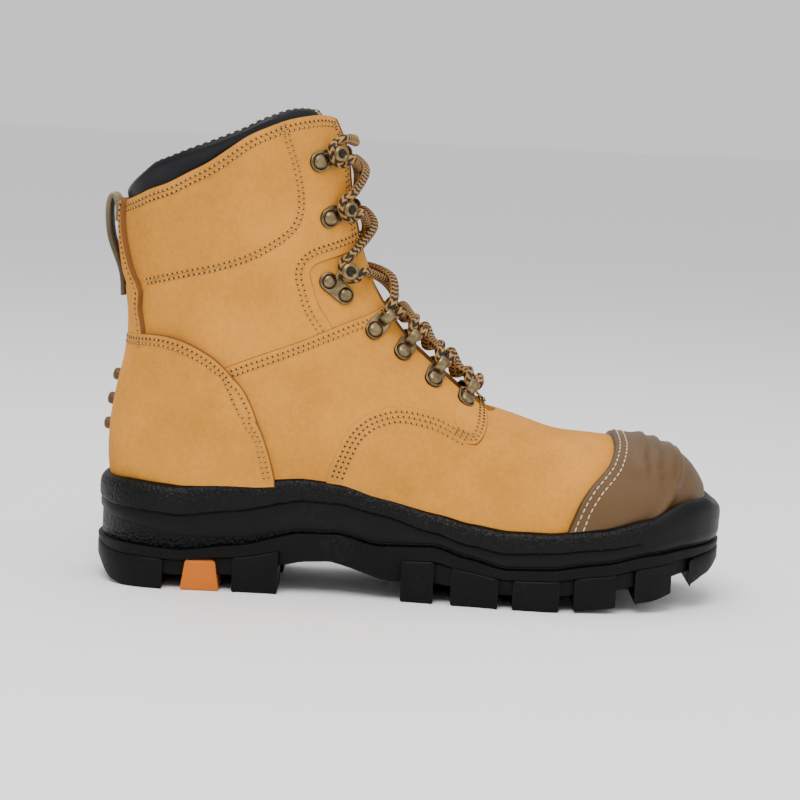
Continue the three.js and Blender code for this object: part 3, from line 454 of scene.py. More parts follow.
def panel(build, loop, out, base, middle, spacing=2.6, soft=0.45, lining=None, extra=None, worn=1.0,
          cut_edge_and_shade=1.0):
    """A sheet of leather or rubber on the form inside a closed line, with rounded cut edges."""
    mean = np.linalg.norm(tangents(loop[:, 0], loop[:, 1])[0], axis=1).mean()

    def flat(line):
        return np.stack([line[:, 0] * mean, girth(*line.T) - girth(line[:, 0], np.full(len(line), middle))],
            1)

    shape = flat(loop)
    area = (shape[:, 0] * np.roll(shape[:, 1], -1) - shape[:, 1] * np.roll(shape[:, 0], -1)).sum()
    if area < 0:
        loop = loop[::-1]
    inner = shift_in(loop, soft)
    edge_flat = flat(inner)
    low, high = edge_flat.min(0), edge_flat.max(0)
    candidates = []
    for k, u in enumerate(np.arange(low[0] + spacing / 2, high[0], spacing)):
        t = np.clip(u / mean, 0, 1)
        v = np.arange(low[1] + (k % 2) * spacing / 2, high[1], spacing)
        a = np.interp(v + girth(np.array([t]), np.array([middle]))[0], girth(np.full(1801, t), LATTICE_A),
            LATTICE_A)
        candidates.append(np.stack([np.full(len(a), t), a], 1))
    grid = np.vstack(candidates)
    grid_flat = flat(grid)
    keep = inside_loop(grid_flat, edge_flat)
    grid, grid_flat = grid[keep], grid_flat[keep]
    gap = segment_distance(grid_flat, np.vstack([edge_flat, edge_flat[:1]]))
    far = gap > spacing * EDGE_ROOM
    grid, grid_flat = grid[far], grid_flat[far]
    n = len(inner)
    spread = np.vstack([edge_flat, grid_flat])
    _, _, triangles, origin, _, _ = delaunay_2d_cdt(
        [Vector(p) for p in spread.tolist()], [(i, (i + 1) % n) for i in range(n)], [], 1, 1e-7)
    first = [o[0] if o else 0 for o in origin]
    faces = [[first[i] for i in f] for f in triangles]
    faces = [f for f in faces if len(set(f)) == 3]
    turned = []
    for f in faces:
        (x0, y0), (x1, y1), (x2, y2) = spread[f]
        turned.append(f if (x1 - x0) * (y2 - y0) - (y1 - y0) * (x2 - x0) > 0 else f[::-1])
    every = np.vstack([inner, grid])
    lift = extra(form(*every.T)) if extra else 0.0
    build.add(leather(every[:, 0], every[:, 1], out + lift, worn), turned)
    lift = lift[:n] if extra else 0.0
    levels = [(soft, 0.0, 0.0), (soft * 0.3, soft * 0.3, 0.75), (0.0, soft, 1.0), (0.0, None, 1.0)]
    rings = []
    for inset, drop, _ in levels:
        line = shift_in(loop, inset) if inset else loop
        level = base if drop is None else out + lift - drop
        rings.append(leather(line[:, 0], line[:, 1], level, worn))
    # Rim mask: each cut edge darkens, partly its own colour and partly painted shade along the edge
    rim = cut_edge_and_shade * np.array([0.0, 0.8, 1.0, 1.0])[:, None]
    build.grid(np.stack(rings), closed_v=True, rim=np.broadcast_to(rim, (4, n)), slot=0)
    if lining is not None:
        back = leather(every[:, 0], every[:, 1], base, worn)
        build.add(back, [f[::-1] for f in turned], slot=lining)


def single(line, side):
    """A loop on the outer side, or the same on the inner one."""
    return line if side < 0 else np.stack([line[:, 0], np.pi - line[:, 1]], 1)


def tube(build, path, radius, sides=10, slot=0, ends=True, tone=0.0):
    """A round cord or wire along a line of points."""
    p = np.asarray(path, float)
    way = unit(np.gradient(p, axis=0))
    up = np.array([0.0, 0.0, 1.0]) if abs(way[0][2]) < 0.9 else np.array([1.0, 0.0, 0.0])
    frames, side = [], unit(np.cross(way[0], up))
    for w in way:
        side = unit(side - w * (side @ w))
        frames.append((side, np.cross(w, side)))
    run = np.concatenate([[0], np.cumsum(np.linalg.norm(np.diff(p, axis=0), axis=1))])
    angle = np.linspace(0, 2 * np.pi, sides + 1)
    size = np.broadcast_to(np.asarray(radius, float), (len(p),))
    rings = np.stack([p[i] + size[i] * (np.outer(np.cos(angle), frames[i][0]) + np.outer(np.sin(angle),
        frames[i][1])) for i in range(len(p))])
    uv = np.stack([np.broadcast_to(run[:, None], rings.shape[:2]),
        np.broadcast_to(angle / (2 * np.pi), rings.shape[:2])], 2)
    build.grid(rings, flip=False, uv=uv, slot=slot, tone=tone)
    if ends:
        build.cap(rings[0][:-1], flip=True, slot=slot).cap(rings[-1][:-1], slot=slot)
    return build


def lathe(build, profile, at, sides=24, slot=0, rim=None):
    """Turns radius and height pairs round the z axis of a 4 by 4 placing."""
    angle = np.linspace(0, 2 * np.pi, sides, endpoint=False)
    prof = np.asarray(profile, float)
    rings = np.stack([prof[:, :1] * np.cos(angle), prof[:, :1] * np.sin(angle),
                      np.broadcast_to(prof[:, 1:2], (len(prof), sides))], 2)
    marks = np.zeros((len(prof), 1)) if rim is None else np.asarray(rim, float)[:, None]
    build.grid(moved(rings, at), closed_v=True, flip=True, slot=slot,
        rim=np.broadcast_to(marks, (len(prof), sides)))
    if prof[-1, 0] > 0.01:
        build.cap(moved(rings[-1], at), slot=slot)


def moved(points, at):
    return points @ at[:3, :3].T + at[:3, 3]


# Materials

def socket_kind(value):
    if np.ndim(value) == 0:
        return "NodeSocketFloat"
    return "NodeSocketColor" if len(value) == 4 else "NodeSocketVector"


class Tree:
    """Adds and links nodes in a material or a group."""

    def __init__(self, tree):
        self.tree = tree

    def node(self, kind, inputs=None, **settings):
        made = self.tree.nodes.new(kind)
        for name, value in settings.items():
            setattr(made, name, value)
        for key, value in (inputs or {}).items():
            self.set(made, key, value)
        return made

    def set(self, made, key, value):
        target = made.inputs[key]
        if isinstance(value, bpy.types.NodeSocket):
            self.tree.links.new(value, target)
        else:
            target.default_value = value

    def math(self, operation, a, b=0.0, clamp=False):
        return self.node("ShaderNodeMath", {0: a, 1: b}, operation=operation, use_clamp=clamp).outputs[0]

    def mix(self, factor, a, b, blend="MIX"):
        made = self.node("ShaderNodeMix", data_type="RGBA", blend_type=blend)
        self.set(made, 0, factor)
        self.set(made, 6, a)
        self.set(made, 7, b)
        return made.outputs[2]

    def spread(self, value, low, high, to_low=0.0, to_high=1.0):
        return self.node("ShaderNodeMapRange", {0: value, 1: low, 2: high, 3: to_low,
            4: to_high}).outputs[0]

    def group(self, name, inputs):
        made = self.node("ShaderNodeGroup", node_tree=bpy.data.node_groups[name])
        for key, value in inputs.items():
            self.set(made, key, value)
        return made.outputs


def new_group(name, inputs, outputs):
    tree = bpy.data.node_groups.new(name, "ShaderNodeTree")
    for key, value in inputs.items():
        made = tree.interface.new_socket(key, in_out="INPUT", socket_type=socket_kind(value))
        made.default_value = value
    for key, value in outputs.items():
        tree.interface.new_socket(key, in_out="OUTPUT", socket_type=socket_kind(value))
    made = Tree(tree)
    return made, made.node("NodeGroupInput").outputs, made.node("NodeGroupOutput")


def make_effects():
    """Effects that several finishes share: mottling, grain and darkened edges, partly wear or patina and
    partly painted shade.
    """
    vector, clear, grey = (0.0, 0.0, 0.0), (0.0, 0.0, 0.0, 1.0), 0.5
    g, i, o = new_group("mottling", {"Vector": vector, "Scale": 30.0, "Fine": 260.0, "Light": clear,
        "Dark": clear}, {"Color": clear, "Value": grey})
    broad = g.node("ShaderNodeTexNoise", {"Vector": i["Vector"], "Scale": i["Scale"], "Detail": 4.0,
        "Roughness": 0.6})
    fine = g.node("ShaderNodeTexNoise", {"Vector": i["Vector"], "Scale": i["Fine"], "Detail": 3.0})
    both = g.math("ADD", g.math("MULTIPLY", g.spread(broad.outputs[0], 0.35, 0.66), 0.72),
                  g.math("MULTIPLY", g.spread(fine.outputs[0], 0.35, 0.65), 0.28), True)
    g.set(o, "Color", g.mix(both, i["Dark"], i["Light"]))
    g.set(o, "Value", both)
    g, i, o = new_group("grain", {"Vector": vector, "Scale": 800.0, "Cells": 0.5}, {"Height": grey})
    noise = g.node("ShaderNodeTexNoise", {"Vector": i["Vector"], "Scale": i["Scale"], "Detail": 4.0})
    cell = g.node("ShaderNodeTexVoronoi", {"Vector": i["Vector"], "Scale": i["Scale"]}, feature="SMOOTH_F1")
    g.set(o, "Height", g.math("ADD", g.math("MULTIPLY", noise.outputs[0],
        g.math("SUBTRACT", 1.0, i["Cells"])), g.math("MULTIPLY", g.math("SUBTRACT", 1.0, cell.outputs[0]),
        i["Cells"])))
    # Darkened edges: wear, patina in hollows, and painted shade along cut edges
    g, i, o = new_group("edge_wear_patina_and_shade", {"Vector": vector, "Mask": 0.0, "Scale": 300.0}, {"Mask": grey})
    noise = g.node("ShaderNodeTexNoise", {"Vector": i["Vector"], "Scale": i["Scale"], "Detail": 3.0})
    g.set(o, "Mask", g.spread(g.math("ADD", i["Mask"], g.math("MULTIPLY", noise.outputs[0], 0.5)), 0.45,
        0.95))
    g, i, o = new_group("dust", {"Vector": vector, "Scale": 700.0, "Amount": 0.1}, {"Mask": grey})
    noise = g.node("ShaderNodeTexNoise", {"Vector": i["Vector"], "Scale": i["Scale"], "Detail": 2.0})
    patch = g.node("ShaderNodeTexNoise", {"Vector": i["Vector"], "Scale": 40.0, "Detail": 2.0})
    speck = g.spread(g.math("MULTIPLY", noise.outputs[0], patch.outputs[0]), 0.36, 0.42)
    g.set(o, "Mask", g.math("MULTIPLY", speck, i["Amount"], True))


def finish(name, light, dark, rough, scale=30.0, fine=260.0, grain=800.0, cells=0.0, bump=0.2, depth=0.0003,
           edge=None, tone=None, dust=0.0, grain_on_tone=False, **shader):
    """A finish with mottling, grain, cut edges darkened partly by painted shade, and dust. Plain numbers go
    on the shader itself.
    """
    material = bpy.data.materials.new(name)
    material.use_nodes = True
    t = Tree(material.node_tree)
    surface = material.node_tree.nodes["Principled BSDF"]
    for key, value in shader.items():
        surface.inputs[key.replace("_", " ")].default_value = value
    at = t.node("ShaderNodeTexCoord").outputs["Object"]
    mottle = t.group("mottling", {"Vector": at, "Scale": scale, "Fine": fine, "Light": (*light, 1),
        "Dark": (*dark, 1)})
    colour = mottle["Color"]
    if tone is not None:
        colour = t.mix(t.node("ShaderNodeAttribute", attribute_name="tone").outputs["Fac"], colour,
            (*tone, 1))
    if edge is not None:
        # Edge colour through the rim mask, partly painted shade
        rim = t.node("ShaderNodeAttribute", attribute_name="rim").outputs["Fac"]
        colour = t.mix(t.group("edge_wear_patina_and_shade", {"Vector": at, "Mask": rim})["Mask"], colour, (*edge, 1))
    if dust:
        colour = t.mix(t.group("dust", {"Vector": at, "Amount": dust})["Mask"], colour, (*DUST_COLOUR, 1))
    t.set(surface, "Base Color", colour)
    t.set(surface, "Roughness", t.spread(mottle["Value"], 0.0, 1.0, rough[1], rough[0]))
    if bump:
        height_ = t.group("grain", {"Vector": at, "Scale": grain, "Cells": cells})["Height"]
        if grain_on_tone:
            height_ = t.math("MULTIPLY", height_, t.node("ShaderNodeAttribute",
                attribute_name="tone").outputs["Fac"])
        t.set(surface, "Normal", t.node("ShaderNodeBump", {"Strength": bump, "Distance": depth,
            "Height": height_}).outputs[0])
    return material, t, surface, colour


MATERIALS = {}


def make_materials():
    tint = bpy.context.scene.boot_colours
    make_effects()
    made = MATERIALS
    shade = lambda c, k: tuple(v * k for v in c)
    tan, cap, black = tuple(tint.leather), tuple(tint.cap), tuple(tint.rubber)
    # Nubuck edge colour: darker cut edges, partly painted shade
    made["nubuck"] = finish("nubuck", shade(tan, 1.1), shade(tan, 0.76), (0.84, 0.95), scale=22.0,
        fine=420.0, grain=2600.0, bump=0.25, depth=0.00012, edge=(0.17, 0.066, 0.015), tone=shade(tan, 0.6),
        Specular_IOR_Level=0.25)[0]
    made["lining"] = finish("shaft lining", (0.42, 0.32, 0.18), (0.012, 0.011, 0.010), (0.85, 0.95),
        scale=420.0, fine=900.0, grain=900.0, cells=0.6, bump=0.4)[0]
    # Cap edge colour: darker cut edges, partly painted shade
    made["cap"] = finish("cap rubber", shade(cap, 1.15), shade(cap, 0.85), (0.42, 0.56), scale=18.0,
        fine=700.0, grain=1800.0, cells=0.5, bump=0.12, depth=0.0001, edge=shade(cap, 0.55),
        tone=shade(cap, 1.5), Specular_IOR_Level=0.4)[0]
    made["rubber"] = finish("sole rubber", shade(black, 1.3), shade(black, 0.7), (0.36, 0.52), scale=26.0,
        fine=500.0, grain=820.0, cells=0.85, bump=0.9, depth=0.0009, dust=0.008, grain_on_tone=True,
        Specular_IOR_Level=0.16)[0]
    made["tread"], t, surface, _ = finish("tread rubber", shade(black, 1.4), shade(black, 0.8),
        (0.45, 0.62), scale=26.0, fine=500.0, grain=1500.0, cells=0.3, bump=0.25, depth=0.0002, dust=0.01,
        Specular_IOR_Level=0.13)
    where = t.node("ShaderNodeSeparateXYZ", {0: t.node("ShaderNodeTexCoord").outputs["Object"]}).outputs
    groove = t.math("PINGPONG", t.math("MULTIPLY", where[0], GROOVES), 0.5)
    in_waist = t.math("MULTIPLY", t.math("COMPARE", where[0], WAIST_X),
        t.math("COMPARE", where[2], WAIST_Z))
    for socket, reach in zip(in_waist.node.inputs[:2], WAIST_REACH):
        socket.links[0].from_node.inputs[2].default_value = reach
    below = surface.inputs["Normal"].links[0].from_socket
    t.set(surface, "Normal", t.node("ShaderNodeBump", {"Strength": 0.9, "Distance": 0.0008, "Normal": below,
        "Height": t.math("MULTIPLY", groove, in_waist)}).outputs[0])
    made["orange"] = finish("orange rubber", shade(tuple(tint.lug), 1.08), shade(tuple(tint.lug), 0.9),
        (0.42, 0.6), grain=1500.0, bump=0.2, depth=0.0002, dust=0.08, Specular_IOR_Level=0.3)[0]
    made["collar"] = finish("collar leather", (0.0055, 0.006, 0.0075), (0.003, 0.0035, 0.0045),
        (0.36, 0.48), scale=60.0, fine=600.0, grain=1500.0, cells=0.7, bump=0.3, depth=0.00015,
        Specular_IOR_Level=0.2)[0]
    made["brass"] = finish("aged brass", (0.27, 0.195, 0.10), (0.12, 0.088, 0.045), (0.28, 0.45),
        scale=300.0, fine=1500.0, grain=1400.0, bump=0.08, depth=0.0001, edge=(0.035, 0.028, 0.018),
        Metallic=1.0)[0]
    made["thread"] = finish("thread", (0.56, 0.31, 0.085), (0.40, 0.20, 0.05), (0.6, 0.75), scale=500.0,
        bump=0.3, grain=3000.0)[0]
    made["pale_thread"] = finish("pale thread", (0.70, 0.55, 0.34), (0.55, 0.42, 0.25), (0.6, 0.75),
        scale=500.0, bump=0.3, grain=3000.0)[0]
    # Dark dots between the stitches: painted shade of the needle holes
    made["hole"] = finish("needle hole shade", (0.045, 0.025, 0.012), (0.02, 0.012, 0.006), (0.9, 0.95),
        bump=0.0)[0]
    made["insole"] = finish("insole cloth", (0.09, 0.08, 0.07), (0.05, 0.045, 0.04), (0.85, 0.95),
        scale=500.0, grain=1600.0, cells=0.6, bump=0.5)[0]
    webbing, t, surface, colour = finish("strap webbing", (0.15, 0.115, 0.06), (0.085, 0.065, 0.035),
        (0.7, 0.85), scale=200.0, bump=0.0, tone=(0.34, 0.28, 0.17))
    uv = t.node("ShaderNodeUVMap", uv_map="UVMap").outputs[0]
    weave = t.node("ShaderNodeTexBrick", {"Vector": uv, "Scale": 1.0, "Brick Width": 1.6, "Row Height": 0.9,
                                          "Mortar Size": 0.16, "Mortar Smooth": 0.8})
    t.set(surface, "Normal", t.node("ShaderNodeBump", {"Strength": 0.6, "Distance": 0.0004,
        "Height": t.math("SUBTRACT", 1.0, weave.outputs["Fac"])}).outputs[0])
    t.set(surface, "Base Color", t.mix(t.math("MULTIPLY", weave.outputs["Fac"], 0.6), colour,
        (0.03, 0.022, 0.012, 1)))
    made["webbing"] = webbing
    lace, t, surface, colour = finish("lace cord", shade(tuple(tint.lace), 1.1),
        shade(tuple(tint.lace), 0.8), (0.7, 0.85), scale=300.0, bump=0.0)
    uv = t.node("ShaderNodeSeparateXYZ", {0: t.node("ShaderNodeUVMap", uv_map="UVMap").outputs[0]}).outputs
    ply = t.math("PINGPONG", t.math("MULTIPLY", uv[1], 4.0), 0.5)
    chevron = t.math("FRACT", t.math("ADD", t.math("DIVIDE", uv[0], 3.6), t.math("MULTIPLY", ply, 1.1)))
    side = t.math("PINGPONG", t.math("ADD", t.math("MULTIPLY", uv[1], 2.0), 0.12), 0.5)
    dark = t.math("MULTIPLY", t.spread(chevron, 0.38, 0.46), t.spread(side, 0.03, 0.07), True)
    t.set(surface, "Base Color", t.mix(dark, colour, (0.006, 0.004, 0.003, 1)))
    braid = t.math("PINGPONG", t.math("ADD", t.math("DIVIDE", uv[0], 1.8), t.math("MULTIPLY", uv[1], 5.0)),
        0.5)
    t.set(surface, "Normal", t.node("ShaderNodeBump", {"Strength": 0.7, "Distance": 0.0004,
        "Height": braid}).outputs[0])
    made["lace"] = lace
    made["floor"] = finish("floor", (0.93, 0.93, 0.93), (0.92, 0.92, 0.92), (0.75, 0.85), bump=0.0)[0]


# Upper

def trim_back(line):
    """Ends a line at the middle of the heel."""
    on = np.nonzero(line[:, 1] >= BACK - 1e-4)[0]
    if not len(on):
        return line
    if on[0] == 0:
        return line[on[np.diff(np.append(on, 10**6)) > 1][0]:]
    return line[:on[0] + 1]


def trim_throat(line, half=THROAT_WIDTH / 2):
    """Ends a line that runs forward where it meets the throat."""
    limit = strip_angle(line[:, 0], half)
    past = np.nonzero(line[:, 1] < limit)[0]
    if not len(past):
        return line
    k = past[0]
    t = line[k, 0]
    return np.vstack([line[:k], [t, limit[k]]])


def run_on(*parts):
    """Joins lines, leaving out points that double."""
    line = np.vstack(parts)
    gap = np.linalg.norm(np.diff(form(*line.T), axis=0), axis=1)
    return line[np.concatenate([[True], gap > 0.25])]


def across_row(t, a0, a1, steps=60):
    return np.stack([np.full(steps, t), np.linspace(a0, a1, steps)], 1)


def whole(half, where):
    return np.vstack([half, mirror(half, where)[1:-1]])


def leather_lines():
    """The closed line of each panel, outer side first."""
    lines = {}
    top = trim_throat(trim_back(edge(LEATHER_TOP)))
    foot = row(11.9)
    rim = rim_line(40, -154)
    rim = trim_back(rim[rim[:, 0] >= foot])
    down = throat(top[-1, 0], foot)
    lines["shell"] = whole(run_on(top, down, across_row(foot, down[-1, 1], rim[0, 1]), rim), BACK)
    window = trim_throat(edge(WINDOW)[::-1])[::-1]
    under = trim_back(place(smooth_curve([(-41, 129), (-46, 123), (-60, 115.5), (-84, 105), (-102, 97),
        (-120, 92), (-136, 90), (-156, 88)])))
    lines["shaft"] = whole(run_on(top, throat(top[-1, 0], window[0, 0], steps=40), window, under), BACK)
    front = trim_throat(edge(QUARTER_TOP))
    hidden = place(smooth_curve([(22, 88), (12, 84.5), (0, 87.5), (-10, 88.5), (-20, 86), (-27, 80),
        (-31, 72), (-34.5, 62), (-36, 52)]))
    behind = place(smooth_curve([(-78, 50), (-82, 66), (-90, 82), (-100, 91), (-110, 95), (-117, 97)]))
    lines["quarter"] = run_on(front, throat(front[-1, 0], row(11.5), steps=40), hidden, rim_line(-38, -76),
        behind)
    turn = np.linspace(0, np.pi / 2, 16)
    start = row(THROAT_ROW + 0.15)
    pace = np.linalg.norm(tangents(np.array([start]), np.array([FRONT]))[0])
    t = start - THROAT_WIDTH / 2 * np.cos(turn) / pace
    end = np.stack([t, strip_angle(t, THROAT_WIDTH / 2 * np.sin(turn))], 1)
    toe = rim_line(-41, 130)
    toe = toe[toe[:, 0] >= row(5)]
    drop = place(smooth_curve([(30, 92), (28.5, 87), (27.2, 83.6)]))
    lines["vamp"] = whole(run_on(end, drop, edge(VAMP[:-1], VAMP_OUT)[::-1], toe,
                                 across_row(row(5), toe[-1, 1], FRONT, 40)), FRONT)
    tip = edge(TIP + TIP[:1], VAMP_OUT + 1)[:-1]
    tip[:, 1] = np.maximum(tip[:, 1], strip_angle(tip[:, 0], THROAT_WIDTH / 2 + 0.4))
    lines["tip"] = run_on(tip)
    cap = edge(CAP, CAP_OUT)
    first = np.nonzero(cap[:, 1] > FRONT + 1e-3)[0][0]
    cap = np.vstack([[cap[first, 0], FRONT], cap[first:]])
    toe_rim = rim_line(76, 145.6, 3.0)
    last = np.nonzero(toe_rim[:, 1] < FRONT + 0.02)[0]
    toe_rim = toe_rim[:last[0]] if len(last) else toe_rim
    toe_rim = np.vstack([toe_rim, [toe_rim[-1, 0] * 0.9, FRONT]])
    lines["cap"] = whole(run_on(cap, toe_rim), FRONT)
    counter = trim_back(edge(COUNTER, COUNTER_OUT))
    lines["counter"] = whole(run_on(counter, trim_back(rim_line(-66, -154))), BACK)
    crown = place(smooth_curve([(-170, 187.6), (-147, 188.2), (-144.3, 186.6)], 0.8))
    stay = edge([(-144, 184)] + STAY[1:], 0)
    lines["stay"] = whole(run_on(trim_back(crown), stay, trim_back(place(smooth_curve([(-132, 117),
        (-160, 114)])))), BACK)
    return lines


def build_upper():
    lines = leather_lines()
    build = Build()
    panel(build, lines["shell"], 0.0, -LEATHER, BACK, 3.2, lining=1)
    panel(build, lines["shaft"], ANKLE_OUT, -0.8, BACK, 2.6)
    for side in (-1, 1):
        middle = np.pi if side < 0 else 0.0
        panel(build, single(lines["quarter"], side), QUARTER_OUT, -0.8, middle, 2.6)
        panel(build, single(lines["tip"], side), VAMP_OUT + 1.0, 0.4, middle, 1.8,
              extra=lambda p: -1.5 * np.clip(1 - (p[:, 0] - 21) / 10, 0, 1))
    # Weaker edge darkening on the vamp, partly painted shade
    panel(build, lines["vamp"], VAMP_OUT, 0.1 - LEATHER, FRONT, 2.6, lining=1, cut_edge_and_shade=0.3)
    made = build.make("upper_leather", [MATERIALS["nubuck"], MATERIALS["lining"]])
    return finished(made, "leather", "upper", sharp=50)


def build_counter():
    build = Build()
    panel(build, leather_lines()["counter"], COUNTER_OUT, 0.6, BACK, 2.8, soft=0.8)
    return finished(build.make("counter_leather", [MATERIALS["nubuck"]]), "leather", "heel_counter",
        sharp=50)


def build_stay():
    build = Build()
    panel(build, leather_lines()["stay"], STAY_OUT, 0.2, BACK, 2.2, soft=0.6)
    return finished(build.make("back_stay_leather", [MATERIALS["nubuck"]]), "leather", "back_stay",
        sharp=50)


CAP_RIBS = [((115, 76.3), (112, 68.7)), ((120.7, 72.6), (118.2, 65)), ((127.3, 69.4), (124.8, 61.4))]
CAP_RIDGE = [(134, 72), (130.7, 70.5), (130, 65.6), (126.2, 57.4), (121.3, 50), (115.4, 42.3)]


def cap_relief(p):
    side = p[:, [0, 2]]
    made = np.zeros(len(p))
    for top, foot in CAP_RIBS:
        line = smooth_curve([(top[0] + 1.5, top[1] + 4), top, ((top[0] + foot[0]) / 2 - 0.3,
            (top[1] + foot[1]) / 2), foot, (foot[0] + 1.6, foot[1] - 1.6)], 1.0)
        gap = segment_distance(side, line)
        ahead = side[:, 0] > np.interp(side[:, 1], line[::-1, 1], line[::-1, 0])
        made += 1.5 * np.exp(-(gap / np.where(ahead, 1.1, 3.0)) ** 2)
    gap = segment_distance(side, smooth_curve(CAP_RIDGE, 1.5))
    return made + 1.4 * np.exp(-(gap / 1.8) ** 2)


def build_cap():
    build = Build()
    panel(build, leather_lines()["cap"], CAP_OUT, 1.0, FRONT, 1.15, soft=1.0, extra=cap_relief, worn=0.0)
    return finished(build.make("toe_cap_rubber", [MATERIALS["cap"]]), "cap_rubber", "toe_cap", sharp=60)


def build_collar():
    """Padded roll inside the top of the shaft, with the lining on its inner face."""
    line = trim_throat(trim_back(edge(COLLAR_TOP, 0, 2.0)), 24.0)
    around_ = np.vstack([mirror(line, BACK)[:-1], line])
    pace = np.linalg.norm(tangents(around_[:, 0], around_[:, 1])[0], axis=1)
    reach = np.concatenate([[0], np.cumsum(np.linalg.norm(np.diff(form(*around_.T), axis=0), axis=1))])
    end = np.clip(np.minimum(reach, reach[-1] - reach) / 14.0, 0, 1) ** 0.5
    profile = [(30, -2.6, 0), (18, -2.5, 0), (12, -2.2, 0), (8, -1.2, 0), (5, -0.2, 0), (2.6, -0.2, 0),
        (1.0, -1.0, 0), (0.1, -2.4, 0), (0.0, -3.6, 0), (0.6, -5.4, 1), (2.4, -7.6, 1), (6, -9.3, 1),
        (14, -10.6, 1), (24, -10.8, 1), (34, -10.0, 1), (42, -7.6, 1), (48, -4.2, 1), (51, -2.6, 1)]
    rows = []
    for down, out, _ in profile:
        t = np.clip(around_[:, 0] - down / pace, 0, 1)
        rows.append(leather(t, around_[:, 1], -2.4 + (out + 2.4) * end, 0.8))
    grid = np.stack(rows)
    build = Build()
    build.grid(grid[:10], slot=0).grid(grid[9:], slot=1)
    for k in (0, -1):
        build.cap(grid[:, k], flip=k == 0, slot=0)
    made = build.make("collar_pad", [MATERIALS["collar"], MATERIALS["lining"]])
    finished(made, "collar_leather", "collar", sharp=60)


def build_tongue():
    t0, t1 = row(10.5), place([(-46, 235)])[0, 0]
    t = np.linspace(t0, t1, 70)
    u = np.linspace(-1, 1, 17)
    rows = []
    for k, tk in enumerate(t):
        ends = min(k / 3, (len(t) - 1 - k) / 3, 1) ** 0.5
        half = 26.0 * (0.8 + 0.2 * ends)
        a = np.array([strip_angle(np.array([tk]), abs(v) * half)[0] for v in u])
        a = np.where(u < 0, a, np.pi - a)
        puff = (1 - np.abs(u) ** 4) ** 0.5 * ends
        wave = 0.5 * np.sin(k * 0.42) * (1 - u * u)
        tt = np.full(len(u), tk)
        rows.append(np.vstack([leather(tt, a, -4.8 + 2.0 * puff + wave, 0),
                               leather(tt, a, -4.9 - 2.4 * puff + wave, 0)[::-1]]))
    build = Build()
    grid = np.stack(rows)
    build.grid(grid, closed_v=True, flip=True)
    build.cap(grid[0], slot=0).cap(grid[-1], flip=True, slot=0)
    made = finished(build.make("tongue_pad", [MATERIALS["nubuck"]]), "leather", "tongue", sharp=70)
    return made


def build_insole():
    """Footbed that follows the wall of the last just over the sole."""
    x = np.linspace(-136, 136, 69)
    lines = []
    for lift, tuck in ((0.5, 1.0), (3.0, 0.4), (4.0, 1.6)):
        z = sole_value(FLOOR, x) * SEAT + lift
        where = place(np.stack([x, z], 1))
        outer = form(*where.T) - tangents(*where.T)[2] * (LEATHER + CLEAR)
        inner = form(where[:, 0], np.pi - where[:, 1])
        inner = inner - tangents(where[:, 0], np.pi - where[:, 1])[2] * (LEATHER + CLEAR)
        lines.append((np.stack([x, outer[:, 1] + tuck, z], 1), np.stack([x, inner[:, 1] - tuck, z], 1)))
    build = Build()
    cross = [lines[0][0], lines[1][0], lines[2][0]]
    for share in np.linspace(0.1, 0.9, 9):
        middle = lines[2][0] * (1 - share) + lines[2][1] * share
        middle[:, 2] -= 1.6 * (1 - (2 * share - 1) ** 2)
        cross.append(middle)
    cross += [lines[2][1], lines[1][1], lines[0][1]]
    grid = np.stack(cross)
    build.grid(grid, closed_u=True, flip=False)
    build.cap(grid[:, 0], flip=False).cap(grid[:, -1], flip=True)
    return finished(build.make("footbed", [MATERIALS["insole"]]), "insole_fabric", "insole", sharp=60)


# Sole

SIDE_STEPS = 150


def end_round(x):
    share = np.asarray(x, float) / LENGTH
    heel = np.clip((share + 0.5) / 0.125, 0, 1)
    toe = np.clip((0.5 - share) / 0.20, 0, 1)
    full = 2.3
    return np.maximum((1 - (1 - heel) ** full) ** (1 / full) * (1 - (1 - toe) ** full) ** (1 / full), 0.03)


def sole_edge(x, side):
    return (sole_value(CENTRE, x) + side * sole_value(HALF, x) * end_round(x)) * WIDTH


def plan_outline(inset=0.0):
    """Outline seen from above: heel to toe on the outer side, then back on the inner side."""
    x = -0.5 * LENGTH * np.cos(np.linspace(0, np.pi, SIDE_STEPS))
    loop = np.vstack([np.stack([x, sole_edge(x, -1)], 1), np.stack([x, sole_edge(x, 1)], 1)[::-1]])
    return loop, plan_inset(loop, inset)


def plan_inset(loop, by):
    way = unit(np.roll(loop, -1, 0) - np.roll(loop, 1, 0))
    return loop + np.stack([-way[:, 1], way[:, 0]], 1) * np.reshape(by, (-1, 1))


def deck(build, ring, flip, **kind):
    """Closes a sole outline from side to side."""
    outer, inner = ring[:SIDE_STEPS], ring[SIDE_STEPS:][::-1]
    build.grid(np.stack([outer * (1 - u) + inner * u for u in np.linspace(0, 1, 7)]), flip=flip, **kind)


def sole_rings(build, levels):
    """Rings of the sole's side; each level gives a height for each x, an inset and how grained it is."""
    rings, tones = [], []
    for level, inset, tone in levels:
        loop, line = plan_outline(inset)
        rings.append(np.column_stack([line, level(loop[:, 0])]))
        tones.append(np.broadcast_to(tone, (len(loop),)))
    build.grid(np.stack(rings), closed_v=True, flip=True, tone=np.stack(tones))
    return rings


def level_of(column, add=0.0, other=None, share=0.0):
    def level(x):
        low = sole_value(column, x) * WALL + add
        return low if other is None else low * (1 - share) + sole_value(other, x) * WALL * share
    return level


def ahead_of_ridge(lean=0.0):
    """Toe bumper: 0 behind its slanted ridge and 1 ahead of it."""
    share = np.clip((plan_outline()[0][:, 0] / LENGTH - 0.372 - 0.012 * lean) / 0.012, 0, 1)
    return share * share * (3 - 2 * share)


